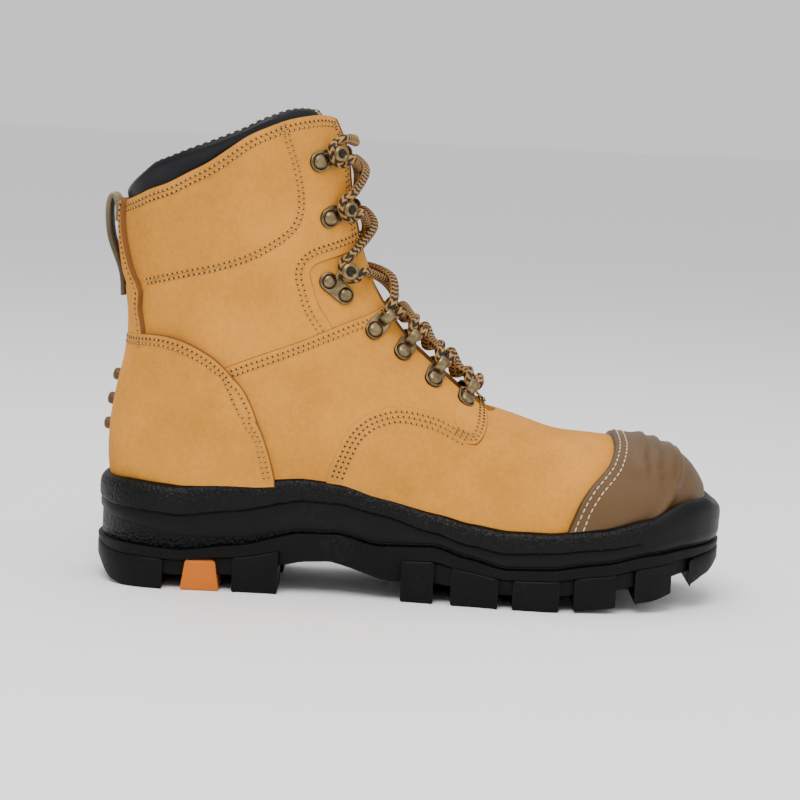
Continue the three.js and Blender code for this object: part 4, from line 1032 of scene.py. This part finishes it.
def build_midsole():
    at = level_of
    low, high = ahead_of_ridge(-1.0), ahead_of_ridge(1.0)
    levels = [(at(TREAD_TOP, -1.0), 3.0, 0), (at(TREAD_TOP, 0.3), 2.0, 1), (at(LOW_BAND, -0.8), 2.0, 1),
        (at(LOW_BAND, -0.2), 1.6, 0), (at(LOW_BAND, 0.3), 1.0 - 0.3 * low, 0),
        (at(LOW_BAND, 0, HIGH_BAND, 0.5), 0.9 - 0.9 * low, 0), (at(HIGH_BAND, -1.0), 1.1 - 1.2 * low, 0),
        (at(HIGH_BAND, -0.3), 1.3 - 1.4 * low, 0), (at(HIGH_BAND, 0.3), 0.5 - 0.6 * low, 0.3 * (1 - low)),
        (at(HIGH_BAND, 1.0), 0.3 - 0.4 * low, 1 - low), (at(HIGH_BAND, 0, RIM, 0.35), 0.3 - 0.6 * high,
        1 - high), (at(HIGH_BAND, 0, RIM, 0.6), 0.4 - 0.7 * high, 1 - high),
        (at(HIGH_BAND, 0, RIM, 0.78), 0.9 - 0.8 * high, 1 - high),
        (at(HIGH_BAND, 0, RIM, 0.9), 1.9 - 0.8 * high, 0.8 - 0.8 * high),
        (at(HIGH_BAND, 0, RIM, 0.97), 2.9, 0), (at(RIM), 4.2, 0), (at(RIM, -1.0), 6.5, 0),
        (at(RIM, -6.0), 9.0, 0), (lambda x: sole_value(FLOOR, x) * SEAT - 0.2, 10.5, 0),]
    build = Build()
    rings = sole_rings(build, levels)
    deck(build, rings[0], False)
    deck(build, rings[-1], True)
    return finished(build.make("midsole_rubber", [MATERIALS["rubber"]]), "sole_rubber", "midsole", sharp=60)


def tread_level(share):
    return level_of(GROUND, 0.0, TREAD_TOP, share)


def arch_floor(x):
    """Underside of the sole's core, raised in the waist."""
    arch = np.asarray(ARCH)
    return np.maximum(tread_level(0.35)(x), np.interp(np.asarray(x) / LENGTH, *arch.T, left=0,
        right=0) * WALL)


def lug(build, loop, top_share=0.76, top=None, taper=1.0, **kind):
    """A tread block on a plan outline, with softened edges."""
    ground = level_of(GROUND)(loop[:, 0])
    crown = tread_level(top_share)(loop[:, 0]) if top is None else np.full(len(loop), top)
    crown = np.maximum(crown, ground + 2.2)
    rings = [(1.2, ground), (0.35, ground + 0.35), (0.0, ground + 1.2), (0.0, crown - 1.5),
        (0.5, crown - 0.4), (2.0, crown + 0.3)]
    shaped = [np.column_stack([plan_inset(loop, inset), z]) for inset, z in rings]
    middle = loop[:, 0].mean()
    for ring in shaped[3:]:
        ring[:, 0] = middle + (ring[:, 0] - middle) * taper
    build.grid(np.stack(shaped), closed_v=True, flip=True, **kind)
    half = len(loop) // 2
    for ring, flip in ((shaped[0], False), (shaped[-1], True)):
        build.grid(np.stack([ring[:half], ring[len(ring) - half:][::-1]]), flip=flip, **kind)


def side_lug(x0, x1, side, depth=None):
    x = np.linspace(x0, x1, 12)
    rim = sole_edge(x, side) - side * 0.05
    half = sole_value(HALF, x) * WIDTH
    inner = sole_value(CENTRE,
        x) * WIDTH + side * (0.33 * half + 2.5) if depth is None else rim - side * depth
    loop = np.vstack([np.stack([x, rim], 1), np.stack([x, inner], 1)[::-1]])
    return loop if side < 0 else loop[::-1]


def end_lug(x_limit, heel):
    loop = plan_outline(0.05)[1]
    return loop[loop[:, 0] < x_limit] if heel else loop[loop[:, 0] > x_limit]


SIDE_LUGS = [(-111.1, -92.2), (-85.6, -63.2), (-3, 12.9), (21.4, 44.3), (51.2, 73.9), (80.8, 101.1),
    (110.4, 128.7)]


def build_outsole():
    build = Build()
    x = plan_outline()[0][:, 0]
    waist = np.clip((x + 63) / 4, 0, 1) * np.clip((-3 - x) / 4, 0, 1)
    deep = 2.2 - 1.9 * waist
    rings = sole_rings(build, [(arch_floor, deep + 1.0, 0), (lambda x: arch_floor(x) + 1.0, deep, 0),
        (lambda x: np.maximum(tread_level(0.70)(x), arch_floor(x) + 1.2), deep, 0),
        (lambda x: np.maximum(tread_level(0.76)(x), arch_floor(x) + 1.4), 0.2, 0),
        (level_of(TREAD_TOP, -0.6), 0.0, 0), (level_of(TREAD_TOP, -0.1), 0.5, 0),
        (level_of(TREAD_TOP), 2.5, 0)])
    deck(build, rings[0], False)
    deck(build, rings[-1], True)
    for x0, x1 in SIDE_LUGS:
        for side in (-1, 1):
            if side < 0 and x0 == SIDE_LUGS[0][0]:
                continue
            lug(build, side_lug(x0, x1, side))
    heel, toe = end_lug(-118.5, True), end_lug(137.7, False)
    lug(build, np.roll(heel, -int(np.diff(heel[:, 0]).argmin()) - 1, 0))
    lug(build, toe, 0.7)
    edges = [c * LENGTH for c in CENTRE_GROOVES]
    for k, (x0, x1) in enumerate(zip(edges, edges[1:])):
        if k == 2:
            continue
        x0, x1 = x0 + 3.2, x1 - 3.2
        xs = np.linspace(x0, x1, 6)
        reach = 0.33 * sole_value(HALF, xs) * WIDTH - 2.5
        middle = sole_value(CENTRE, xs) * WIDTH
        lug(build, np.vstack([np.stack([xs, middle - reach], 1), np.stack([xs, middle + reach], 1)[::-1]]),
            0.5)
    return finished(build.make("outsole_rubber", [MATERIALS["tread"]]), "sole_rubber", "outsole", sharp=45)


def build_insert():
    build = Build()
    lug(build, side_lug(-110.6, -92.0, -1, 0.21 * WIDTH), top=0.26 * WALL, taper=0.8)
    return finished(build.make("heel_insert_rubber", [MATERIALS["orange"]]), "orange_rubber", "heel_insert",
        sharp=45)


# Fittings and lace

def ribbon(build, path, side, width, thick, slot=0, tone=0.0):
    """A flat strip along a line, with rounded edges."""
    p = np.asarray(path, float)
    way = unit(np.gradient(p, axis=0))
    side = np.broadcast_to(unit(np.asarray(side, float)), p.shape)
    up = unit(np.cross(way, side))
    w, h, r = width / 2, thick / 2, thick * 0.3
    shape = [(-w, -h + r), (-w + r, -h), (w - r, -h), (w, -h + r), (w, h - r), (w - r, h), (-w + r, h),
        (-w, h - r)]
    shape.append(shape[0])
    rings = np.stack([p + side * a + up * b for a, b in shape], 1)
    run = np.concatenate([[0], np.cumsum(np.linalg.norm(np.diff(p, axis=0), axis=1))])
    uv = np.stack([np.broadcast_to(run[:, None], rings.shape[:2]),
                   np.broadcast_to(np.array([a for a, _ in shape]) + w, rings.shape[:2])], 2)
    build.grid(rings, flip=True, slot=slot, uv=uv, tone=tone)
    build.cap(rings[0][:-1], slot=slot).cap(rings[-1][:-1], flip=True, slot=slot)


def plate(build, at, x0, x1, radius, thick, y0=0.0, y1=0.0):
    """A flat plate with round ends between two points."""
    a, b = np.array([x0, y0]), np.array([x1, y1])
    along = np.arctan2(*(b - a)[::-1]) if np.any(a != b) else 0.0
    turn = np.linspace(-np.pi / 2, np.pi / 2, 13)
    loop = np.vstack([b + radius * np.stack([np.cos(turn + along), np.sin(turn + along)], 1),
                      a - radius * np.stack([np.cos(turn + along), np.sin(turn + along)], 1)])
    middle = (a + b) / 2
    rings = []
    for size, z in ((1.0, -0.4), (1.0, thick - 0.35), (0.965, thick - 0.1), (0.90, thick)):
        rings.append(moved(np.column_stack([middle + (loop - middle) * size, np.full(len(loop), z)]), at))
    build.grid(np.stack(rings), closed_v=True, flip=True, rim=np.broadcast_to(np.array([[0.9], [0.6], [0.1],
        [0]]), (4, len(loop))))
    build.cap(rings[-1])


def dome(build, at, x, y, radius, base, tall):
    """A rivet head with a pressed line round it."""
    spot = at.copy()
    spot[:3, 3] = moved(np.array([x, y, base]), at)
    profile = [(radius + 0.5, -0.1), (radius + 0.5, 0.35), (radius + 0.1, 0.5), (radius - 0.1, 0.2),
        (radius - 0.3, 0.5), (radius * 0.86, tall * 0.62), (radius * 0.6, tall * 0.9),
        (radius * 0.3, tall * 0.985), (0.0, tall)]
    lathe(build, profile, spot, 28, rim=[0.3, 0, 0.7, 1.2, 0.5, 0, 0, 0, 0])


def fitting_spots():
    spots = []
    for side in (-1, 1):
        for kind, x, z, step in FITTINGS:
            t, a = place([(x * LENGTH, height(z))])[0]
            at_angle = a if side < 0 else np.pi - a
            one, turned = np.array([t]), np.array([at_angle])
            normal = tangents(one, turned)[2][0]
            base = leather(one, turned, step, 1.0)[0]
            to_throat = form(one, turned + side * 0.2)[0] - form(one, turned)[0]
            to_throat = unit(to_throat - normal * (to_throat @ normal))
            at = np.eye(4)
            at[:3, :3] = np.column_stack([to_throat, np.cross(normal, to_throat) * -side, normal])
            at[:3, 3] = base
            spots.append((side, kind, t, at))
    return spots


def fitting_shape(build, kind, side, at):
    y = 1.0 if side < 0 else -1.0
    framed = at.copy()
    framed[:3, 1] *= y
    flat = lambda points: moved(np.array([(u, v * y, n) for u, v, n in points], float), framed)
    across = framed[:3, 1]
    if kind == "ring":
        plate(build, framed, 0.0, 6.4, 4.7, 1.2)
        dome(build, framed, 0, 0, 3.9, 1.2, 2.3)
        arch = np.linspace(0, np.pi, 15)
        ribbon(build, flat([(9.8 - 4.1 * np.cos(s), 0, 0.9 + 5.2 * np.sin(s)) for s in arch]), across, 5.2,
            1.5)
        return
    if kind == "hook":
        plate(build, framed, 0.0, 3.0, 5.0, 1.2)
        dome(build, framed, 0, 0, 3.9, 1.2, 2.3)
        neck, head = (9.6, 0.0), 4.0
    else:
        plate(build, framed, -1.5, 1.5, 4.6, 1.2, 5.2 * y, -5.2 * y)
        for u, v in ((-1.5, 5.2 * y), (1.5, -5.2 * y)):
            dome(build, framed, u, v, 3.5, 1.2, 2.0)
        neck, head = (8.8, 3.6), 4.5
    u, v = neck
    ribbon(build, flat(smooth_curve([(1.5, v * 0.5, 0.9), (u - 4.5, v * 0.9, 0.9), (u - 1.2, v, 1.1),
        (u + 0.7, v, 2.4), (u + 1.0, v, 4.4), (u, v, 6.0)], 0.7)), across, 5.4, 1.3)
    spot = framed.copy()
    spot[:3, 3] = moved(np.array([neck[0] - 0.4, neck[1] * y, 5.9]), framed)
    profile = [(0.01, 0.0), (head * 0.8, 0.1), (head, 0.8), (head * 0.98, 1.5), (head * 0.8, 2.2),
        (head * 0.62, 2.35), (head * 0.5, 1.9), (head * 0.3, 1.5), (0.0, 1.4)]
    lathe(build, profile, spot, 26, rim=[0, 0.4, 0.3, 0, 0, 0.2, 0.9, 1.3, 1.3])


def build_fittings():
    count = {}
    for side, kind, _, at in fitting_spots():
        name = f"{kind}_{'outer' if side < 0 else 'inner'}"
        count[name] = count.get(name, 0) + 1
        build = Build()
        fitting_shape(build, kind, side, at)
        finished(build.make(f"metal_{name}_{count[name]}", [MATERIALS["brass"]]), "brass",
            f"{name}_{count[name]}", sharp=50)


HOOK_TURN = [(16, 5.4, 3.4), (10.5, 5.4, 3.4), (7.4, 3.8, 3.6), (6.3, 0.0, 3.8), (7.4, -3.8, 3.6),
    (10.5, -5.4, 3.4), (16, -5.4, 3.4)]
RING_TURN = [(16.5, 3.2, 4.6), (12.5, 2.6, 3.4), (10.0, 0.0, 2.9), (12.5, -2.6, 3.4), (16.5, -3.2, 4.6)]


def build_lace():
    """One cord: down in crossings from the top, over at the lowest rings and back up."""
    spots = fitting_spots()
    outer, inner = [s for s in spots if s[0] < 0], [s for s in spots if s[0] > 0]
    down = [(outer, inner)[k % 2][k] for k in range(7)]
    up_ = [(inner, outer)[k % 2][k] for k in range(7)]

    def turn(spot, rising):
        shape = RING_TURN if spot[1] == "ring" else HOOK_TURN
        shift = 3.6 if spot[1] == "ankle_hook" else 0.0
        local = np.array([(u, v + shift, n) for u, v, n in shape], float)
        return moved(local[::-1] if rising else local, spot[3])

    def over(t, out):
        return leather(np.array([t]), np.array([FRONT]), out, 0)

    path = [over(outer[0][2] + 0.006, 3.6)]
    for k, spot in enumerate(down):
        path.append(turn(spot, False))
        if k < 6:
            path.append(over((spot[2] + down[k + 1][2]) / 2, 2.2 + 4.0 * (k % 2)))
    path.append(over(outer[6][2] - 0.004, 3.2))
    for k in range(6, -1, -1):
        path.append(turn(up_[k], True))
        if k > 0:
            path.append(over((up_[k][2] + up_[k - 1][2]) / 2, 2.2 + 4.0 * (k % 2)))
    path.append(over(outer[0][2] + 0.012, 3.6))
    build = Build()
    cord = bpy.context.scene.boot_sizes.lace_diameter / MM
    tube(build, smooth_curve(np.vstack(path), 1.1), cord / 2, 12)
    return finished(build.make("lace_braid", [MATERIALS["lace"]]), "lace_cord", "lace", sharp=70)


LOOP_LINE = [(0, 0), (0.27, 0.05), (0.64, 0.98), (0.955, 1.02), (1.11, 0.51), (1.02, 0.01), (0.82, 0.10)]


def build_loop():
    low, high = leather(np.array([row(22.6), row(25.2)]), np.array([BACK, BACK]), 4.8, 0)
    points = [low + (high - low) * share + np.array([-away * 4.8, 0, 0]) for share, away in LOOP_LINE]
    line = smooth_curve(points, 1.2)
    build = Build()
    inner = np.clip(np.linspace(-1.6, 1.6, len(line)), 0, 1)[:, None]
    ribbon(build, line, (0, 1, 0), 20.0, 2.2, tone=np.broadcast_to(inner * 0.8, (len(line), 9)))
    return finished(build.make("pull_loop_webbing", [MATERIALS["webbing"]]), "strap", "pull_loop", sharp=60)


def build_studs():
    t = np.linspace(row(17.5), row(22), 400)
    back = form(t, np.full(400, BACK))
    for k, share in enumerate(STUDS):
        one = np.interp([height(share)], back[:, 2], t)
        base = leather(one, np.array([BACK]), COUNTER_OUT + 0.1, 1.0)[0]
        normal = tangents(one, np.array([BACK]))[2][0]
        at = np.eye(4)
        at[:3, :3] = np.column_stack([np.cross((0, 1, 0), normal), (0, 1, 0), normal])
        at[:3, 3] = base
        build = Build()
        lathe(build, [(3.1, -0.3), (3.1, 1.4), (2.8, 2.3), (2.1, 2.9), (1.0, 3.2), (0.0, 3.25)], at, 24)
        finished(build.make(f"stud_rubber_{k + 1}", [MATERIALS["cap"]]), "cap_rubber", f"heel_stud_{k + 1}",
            sharp=60)


# Stitches

def seam_rows():
    """Seam lines on the outer side: line, how far in, what they lie on, pale or not."""
    top = trim_throat(trim_back(edge(LEATHER_TOP)))
    window = trim_throat(edge(WINDOW)[::-1])[::-1]
    brow = run_on(top[top[:, 1] < BACK - 0.2], throat(top[-1, 0], window[0, 0], steps=60))
    collar = edge([(-133, 149.2)] + COLLAR_LINE[2:-1] + [(-69, 227.5)])
    quarter, counter = trim_throat(edge(QUARTER_TOP)), trim_back(edge(COUNTER, COUNTER_OUT))
    vamp, tip = edge(VAMP[:-1], VAMP_OUT), edge(TIP, VAMP_OUT + 1)
    cap, stay = edge(CAP, CAP_OUT), edge(STAY, 0)
    cap = cap[cap[:, 1] > FRONT + 0.01]
    cap = np.vstack([across_row(cap[0, 0], FRONT, cap[0, 1], 24)[:-1], cap])
    sewn = [(brow, (-3.0, -5.5), ANKLE_OUT), (collar, (1.2, -1.2), ANKLE_OUT),
            (window, (-4.6, -7.0), ANKLE_OUT), (quarter, (-2.5, -5.0), QUARTER_OUT),
            (counter, (-2.5, -5.0), COUNTER_OUT), (vamp, (-2.4, -4.8, -7.2), VAMP_OUT),
            (tip, (-2.2, -4.4), VAMP_OUT + 1), (stay, (-2.2,), STAY_OUT)]
    rows = [(line, inset, out) for line, insets, out in sewn for inset in insets]
    pale = [(cap, 2.6, CAP_OUT), (cap, 5.9, CAP_OUT)]
    return rows, pale


def stitch_nodes():
    tree = bpy.data.node_groups.new("stitch_row", "GeometryNodeTree")
    tree.is_modifier = True
    g = Tree(tree)
    tree.interface.new_socket("Geometry", in_out="INPUT", socket_type="NodeSocketGeometry")
    for name, value in (("Pitch", 0.0036), ("Length", 0.0028), ("Thickness", 0.0009), ("Start", 0.0)):
        tree.interface.new_socket(name, in_out="INPUT", socket_type="NodeSocketFloat").default_value = value
    tree.interface.new_socket("Material", in_out="INPUT", socket_type="NodeSocketMaterial")
    tree.interface.new_socket("Geometry", in_out="OUTPUT", socket_type="NodeSocketGeometry")
    i, o = g.node("NodeGroupInput").outputs, g.node("NodeGroupOutput")
    curve = g.node("GeometryNodeMeshToCurve", {"Mesh": i["Geometry"]}).outputs[0]
    trimmed = g.node("GeometryNodeTrimCurve", mode="LENGTH")
    g.set(trimmed, "Curve", curve)
    g.set(trimmed, 4, i["Start"])
    g.set(trimmed, 5, 10.0)
    sampled = g.node("GeometryNodeResampleCurve")
    sampled.mode = "LENGTH"
    g.set(sampled, "Curve", trimmed.outputs[0])
    g.set(sampled, "Length", i["Pitch"])
    ball = g.node("GeometryNodeMeshUVSphere", {"Segments": 8, "Rings": 5, "Radius": 0.5}).outputs[0]
    size = g.node("ShaderNodeCombineXYZ", {0: i["Length"], 1: i["Thickness"],
                                           2: g.math("MULTIPLY", i["Thickness"], 0.8)}).outputs[0]
    up = g.node("GeometryNodeInputNamedAttribute", {"Name": "up"}, data_type="FLOAT_VECTOR").outputs[0]
    ahead = g.node("FunctionNodeAlignRotationToVector",
        {"Vector": g.node("GeometryNodeInputTangent").outputs[0]}, axis="X").outputs[0]
    turned = g.node("FunctionNodeAlignRotationToVector", {"Rotation": ahead, "Vector": up}, axis="Z",
        pivot_axis="X")
    placed = g.node("GeometryNodeInstanceOnPoints", {"Points": sampled.outputs[0], "Instance": ball,
        "Rotation": turned.outputs[0], "Scale": size}).outputs[0]
    real = g.node("GeometryNodeRealizeInstances", {"Geometry": placed}).outputs[0]
    shaded = g.node("GeometryNodeSetMaterial", {"Geometry": real, "Material": i["Material"]}).outputs[0]
    g.set(o, "Geometry", shaded)
    return tree


def sew(name, rows, slot, material, lift, **sizes):
    """Lines of stitches along seam rows on both sides of the boot."""
    points, ups, edges_ = [], [], []
    for line, inset, out in rows:
        line = shift_in(line, inset, closed=False)
        spot = form(*line.T)
        line = line[spot[:, 2] > sole_value(RIM, spot[:, 0]) * WALL + 1.0]
        for side in (-1, 1):
            way = single(line, side)
            p = leather(way[:, 0], way[:, 1], out + lift)
            start = sum(len(q) for q in points)
            edges_ += [(start + k, start + k + 1) for k in range(len(p) - 1)]
            points.append((p + SHIFT) * MM)
            ups.append(tangents(way[:, 0], way[:, 1])[2])
    mesh = bpy.data.meshes.new(name)
    mesh.from_pydata(np.vstack(points).tolist(), edges_, [])
    mesh.attributes.new("up", "FLOAT_VECTOR", "POINT").data.foreach_set("vector",
        np.vstack(ups).astype(np.float32).ravel())
    made = bpy.data.objects.new(name, mesh)
    bpy.context.collection.objects.link(made)
    modifier = made.modifiers.new("stitches", "NODES")
    modifier.node_group = bpy.data.node_groups.get("stitch_row") or stitch_nodes()
    keys = {s.name: s.identifier for s in modifier.node_group.interface.items_tree if s.in_out == "INPUT"}
    modifier[keys["Material"]] = MATERIALS[material]
    for key, value in sizes.items():
        modifier[keys[key]] = value
    bpy.context.view_layer.update()
    solid = bpy.data.meshes.new_from_object(made.evaluated_get(bpy.context.evaluated_depsgraph_get()))
    made.modifiers.clear()
    made.data = solid
    for polygon in solid.polygons:
        polygon.use_smooth = True
    return finished(made, slot)


def build_stitches():
    rows, pale = seam_rows()
    sizes = bpy.context.scene.boot_sizes
    pitch, thick = sizes.stitch_pitch, sizes.stitch_thickness
    sew("seam_thread", rows, "leather", "thread", 0.28, Pitch=pitch, Length=pitch * 0.74,
        Thickness=thick * 0.9)
    # Dark dots between the stitches: painted shade of the needle holes
    sew("seam_hole_shade", rows, "leather", "hole", 0.2, Pitch=pitch, Length=pitch * 0.42,
        Thickness=thick * 1.15, Start=pitch / 2)
    sew("cap_thread", pale, "cap_rubber", "pale_thread", 0.25, Pitch=pitch * 1.25, Length=pitch * 1.02,
        Thickness=thick * 0.72)
    brim = trim_throat(trim_back(edge(COLLAR_TOP, 0, 2.0)), 24.0)
    sew("collar_thread", [(brim, -0.4, -1.9)], "collar_leather", "pale_thread", 0.0, Pitch=pitch * 1.5,
        Length=pitch * 0.8, Thickness=thick * 0.9)


# Stage

def build_stage():
    size = 40.0
    mesh = bpy.data.meshes.new("floor")
    mesh.from_pydata([(-size, -size, 0), (size, -size, 0), (size, size, 0), (-size, size, 0)], [],
        [(0, 1, 2, 3)])
    mesh.materials.append(MATERIALS["floor"])
    floor = bpy.data.objects.new("floor", mesh)
    bpy.context.collection.objects.link(floor)
    world = bpy.context.scene.world or bpy.data.worlds.new("studio")
    bpy.context.scene.world = world
    world.use_nodes = True
    world.node_tree.nodes["Background"].inputs[0].default_value = (1, 1, 1, 1)
    world.node_tree.nodes["Background"].inputs[1].default_value = 0.9
    for name, at, power, wide in (("key", (-0.2, -0.9, 1.4), 21.0, 0.9),
            ("fill", (1.1, -0.8, 0.8), 6.0, 1.2), ("top", (0.0, 0.3, 1.5), 9.0, 1.4)):
        data = bpy.data.lights.new(name, "AREA")
        data.energy, data.size = power, wide
        lamp = bpy.data.objects.new(name, data)
        lamp.location = at
        lamp.rotation_euler = (Vector((0, 0, 0.1)) - Vector(at)).to_track_quat("-Z", "Y").to_euler()
        bpy.context.collection.objects.link(lamp)
    data = bpy.data.cameras.new("camera")
    data.lens, data.sensor_width = FOCAL, SENSOR
    camera = bpy.data.objects.new("camera", data)
    bpy.context.collection.objects.link(camera)
    bpy.context.scene.camera = camera
    shift = Vector(SHIFT * MM)
    eye, aim = Vector((-0.0034, -1.150, 0.228)) + shift, Vector((-0.0074, 0, 0.0935)) + shift
    look = (aim - eye).to_track_quat("-Z", "Y").to_matrix()
    camera.matrix_world = Matrix.Translation(eye) @ (look @ Matrix.Rotation(math.radians(2.6), 3,
        "Z")).to_4x4()


# Add-on

class BootSizes(bpy.types.PropertyGroup):
    stitch_pitch: bpy.props.FloatProperty(name="Stitch pitch",
        description="From stitch to stitch along a seam", default=0.0026, min=0.002, max=0.008,
        subtype="DISTANCE", unit="LENGTH")
    stitch_thickness: bpy.props.FloatProperty(name="Thread", description="Thickness of the sewing thread",
        default=0.001, min=0.0004, max=0.002, subtype="DISTANCE", unit="LENGTH")
    lace_diameter: bpy.props.FloatProperty(name="Lace", description="Thickness of the round lace",
        default=0.0045, min=0.003, max=0.006, subtype="DISTANCE", unit="LENGTH")


def colour_property(name, text, value):
    return bpy.props.FloatVectorProperty(name=name, description=text, default=value, size=3, min=0, max=1,
        subtype="COLOR")


class BootColours(bpy.types.PropertyGroup):
    leather: colour_property("Leather", "Nubuck of the upper", (0.585, 0.238, 0.025))
    cap: colour_property("Cap", "Rubber of the toe cap", (0.088, 0.042, 0.009))
    rubber: colour_property("Rubber", "Rubber of the sole", (0.0018, 0.0016, 0.0015))
    lug: colour_property("Lug", "Coloured lug at the heel", (0.50, 0.118, 0.001))
    lace: colour_property("Lace", "Light strands of the lace", (0.36, 0.17, 0.028))


class Piece:
    """What each operator here shares."""

    bl_options = {"REGISTER", "UNDO"}
    work = ()

    def execute(self, context):
        if not MATERIALS:
            make_materials()
        for make in self.work:
            make()
        return {"FINISHED"}


class BOOT_OT_stage(Piece, bpy.types.Operator):
    """Floor, lights and camera"""
    bl_idname, bl_label, work = "boot.stage", "Stage", (build_stage,)


class BOOT_OT_upper(Piece, bpy.types.Operator):
    """Leather panels of the upper"""
    bl_idname, bl_label, work = "boot.upper", "Upper", (build_upper,)


class BOOT_OT_cap(Piece, bpy.types.Operator):
    """Rubber toe cap"""
    bl_idname, bl_label, work = "boot.toe_cap", "Toe cap", (build_cap,)


class BOOT_OT_heel(Piece, bpy.types.Operator):
    """Heel counter and back stay"""
    bl_idname, bl_label, work = "boot.heel", "Heel counter and back stay", (build_counter, build_stay)


class BOOT_OT_collar(Piece, bpy.types.Operator):
    """Padded collar"""
    bl_idname, bl_label, work = "boot.collar", "Collar", (build_collar,)


class BOOT_OT_inside(Piece, bpy.types.Operator):
    """Tongue and insole"""
    bl_idname, bl_label, work = "boot.inside", "Tongue and insole", (build_tongue, build_insole)


class BOOT_OT_sole(Piece, bpy.types.Operator):
    """Midsole, outsole and the coloured heel lug"""
    bl_idname, bl_label, work = "boot.sole", "Sole", (build_midsole, build_outsole, build_insert)


class BOOT_OT_fittings(Piece, bpy.types.Operator):
    """Rings, hooks and rubber studs"""
    bl_idname, bl_label, work = "boot.fittings", "Rings, hooks and studs", (build_fittings, build_studs)


class BOOT_OT_lace(Piece, bpy.types.Operator):
    """Lace and pull loop"""
    bl_idname, bl_label, work = "boot.lace", "Lace and pull loop", (build_lace, build_loop)


class BOOT_OT_stitches(Piece, bpy.types.Operator):
    """Rows of stitches"""
    bl_idname, bl_label, work = "boot.stitches", "Stitches", (build_stitches,)


STEPS = (BOOT_OT_stage, BOOT_OT_upper, BOOT_OT_cap, BOOT_OT_heel, BOOT_OT_collar, BOOT_OT_inside,
    BOOT_OT_sole, BOOT_OT_fittings, BOOT_OT_lace, BOOT_OT_stitches)


class BOOT_PT_panel(bpy.types.Panel):
    """The boot's sizes, colours and pieces"""
    bl_label, bl_idname = "Work boot", "BOOT_PT_panel"
    bl_space_type, bl_region_type, bl_category = "VIEW_3D", "UI", "Boot"

    def draw(self, context):
        for group in (context.scene.boot_sizes, context.scene.boot_colours):
            for key in group.__annotations__:
                self.layout.prop(group, key)
        for step in STEPS:
            self.layout.operator(step.bl_idname)


CLASSES = (BootSizes, BootColours, *STEPS, BOOT_PT_panel)


def register():
    for cls in CLASSES:
        bpy.utils.register_class(cls)
    bpy.types.Scene.boot_sizes = bpy.props.PointerProperty(type=BootSizes)
    bpy.types.Scene.boot_colours = bpy.props.PointerProperty(type=BootColours)


def unregister():
    del bpy.types.Scene.boot_sizes
    del bpy.types.Scene.boot_colours
    for cls in reversed(CLASSES):
        bpy.utils.unregister_class(cls)


def main():
    register()
    bpy.ops.boot.stage()
    bpy.ops.boot.upper()
    bpy.ops.boot.toe_cap()
    bpy.ops.boot.heel()
    bpy.ops.boot.collar()
    bpy.ops.boot.inside()
    bpy.ops.boot.sole()
    bpy.ops.boot.fittings()
    bpy.ops.boot.lace()
    bpy.ops.boot.stitches()


if __name__ == "__main__":
    main()
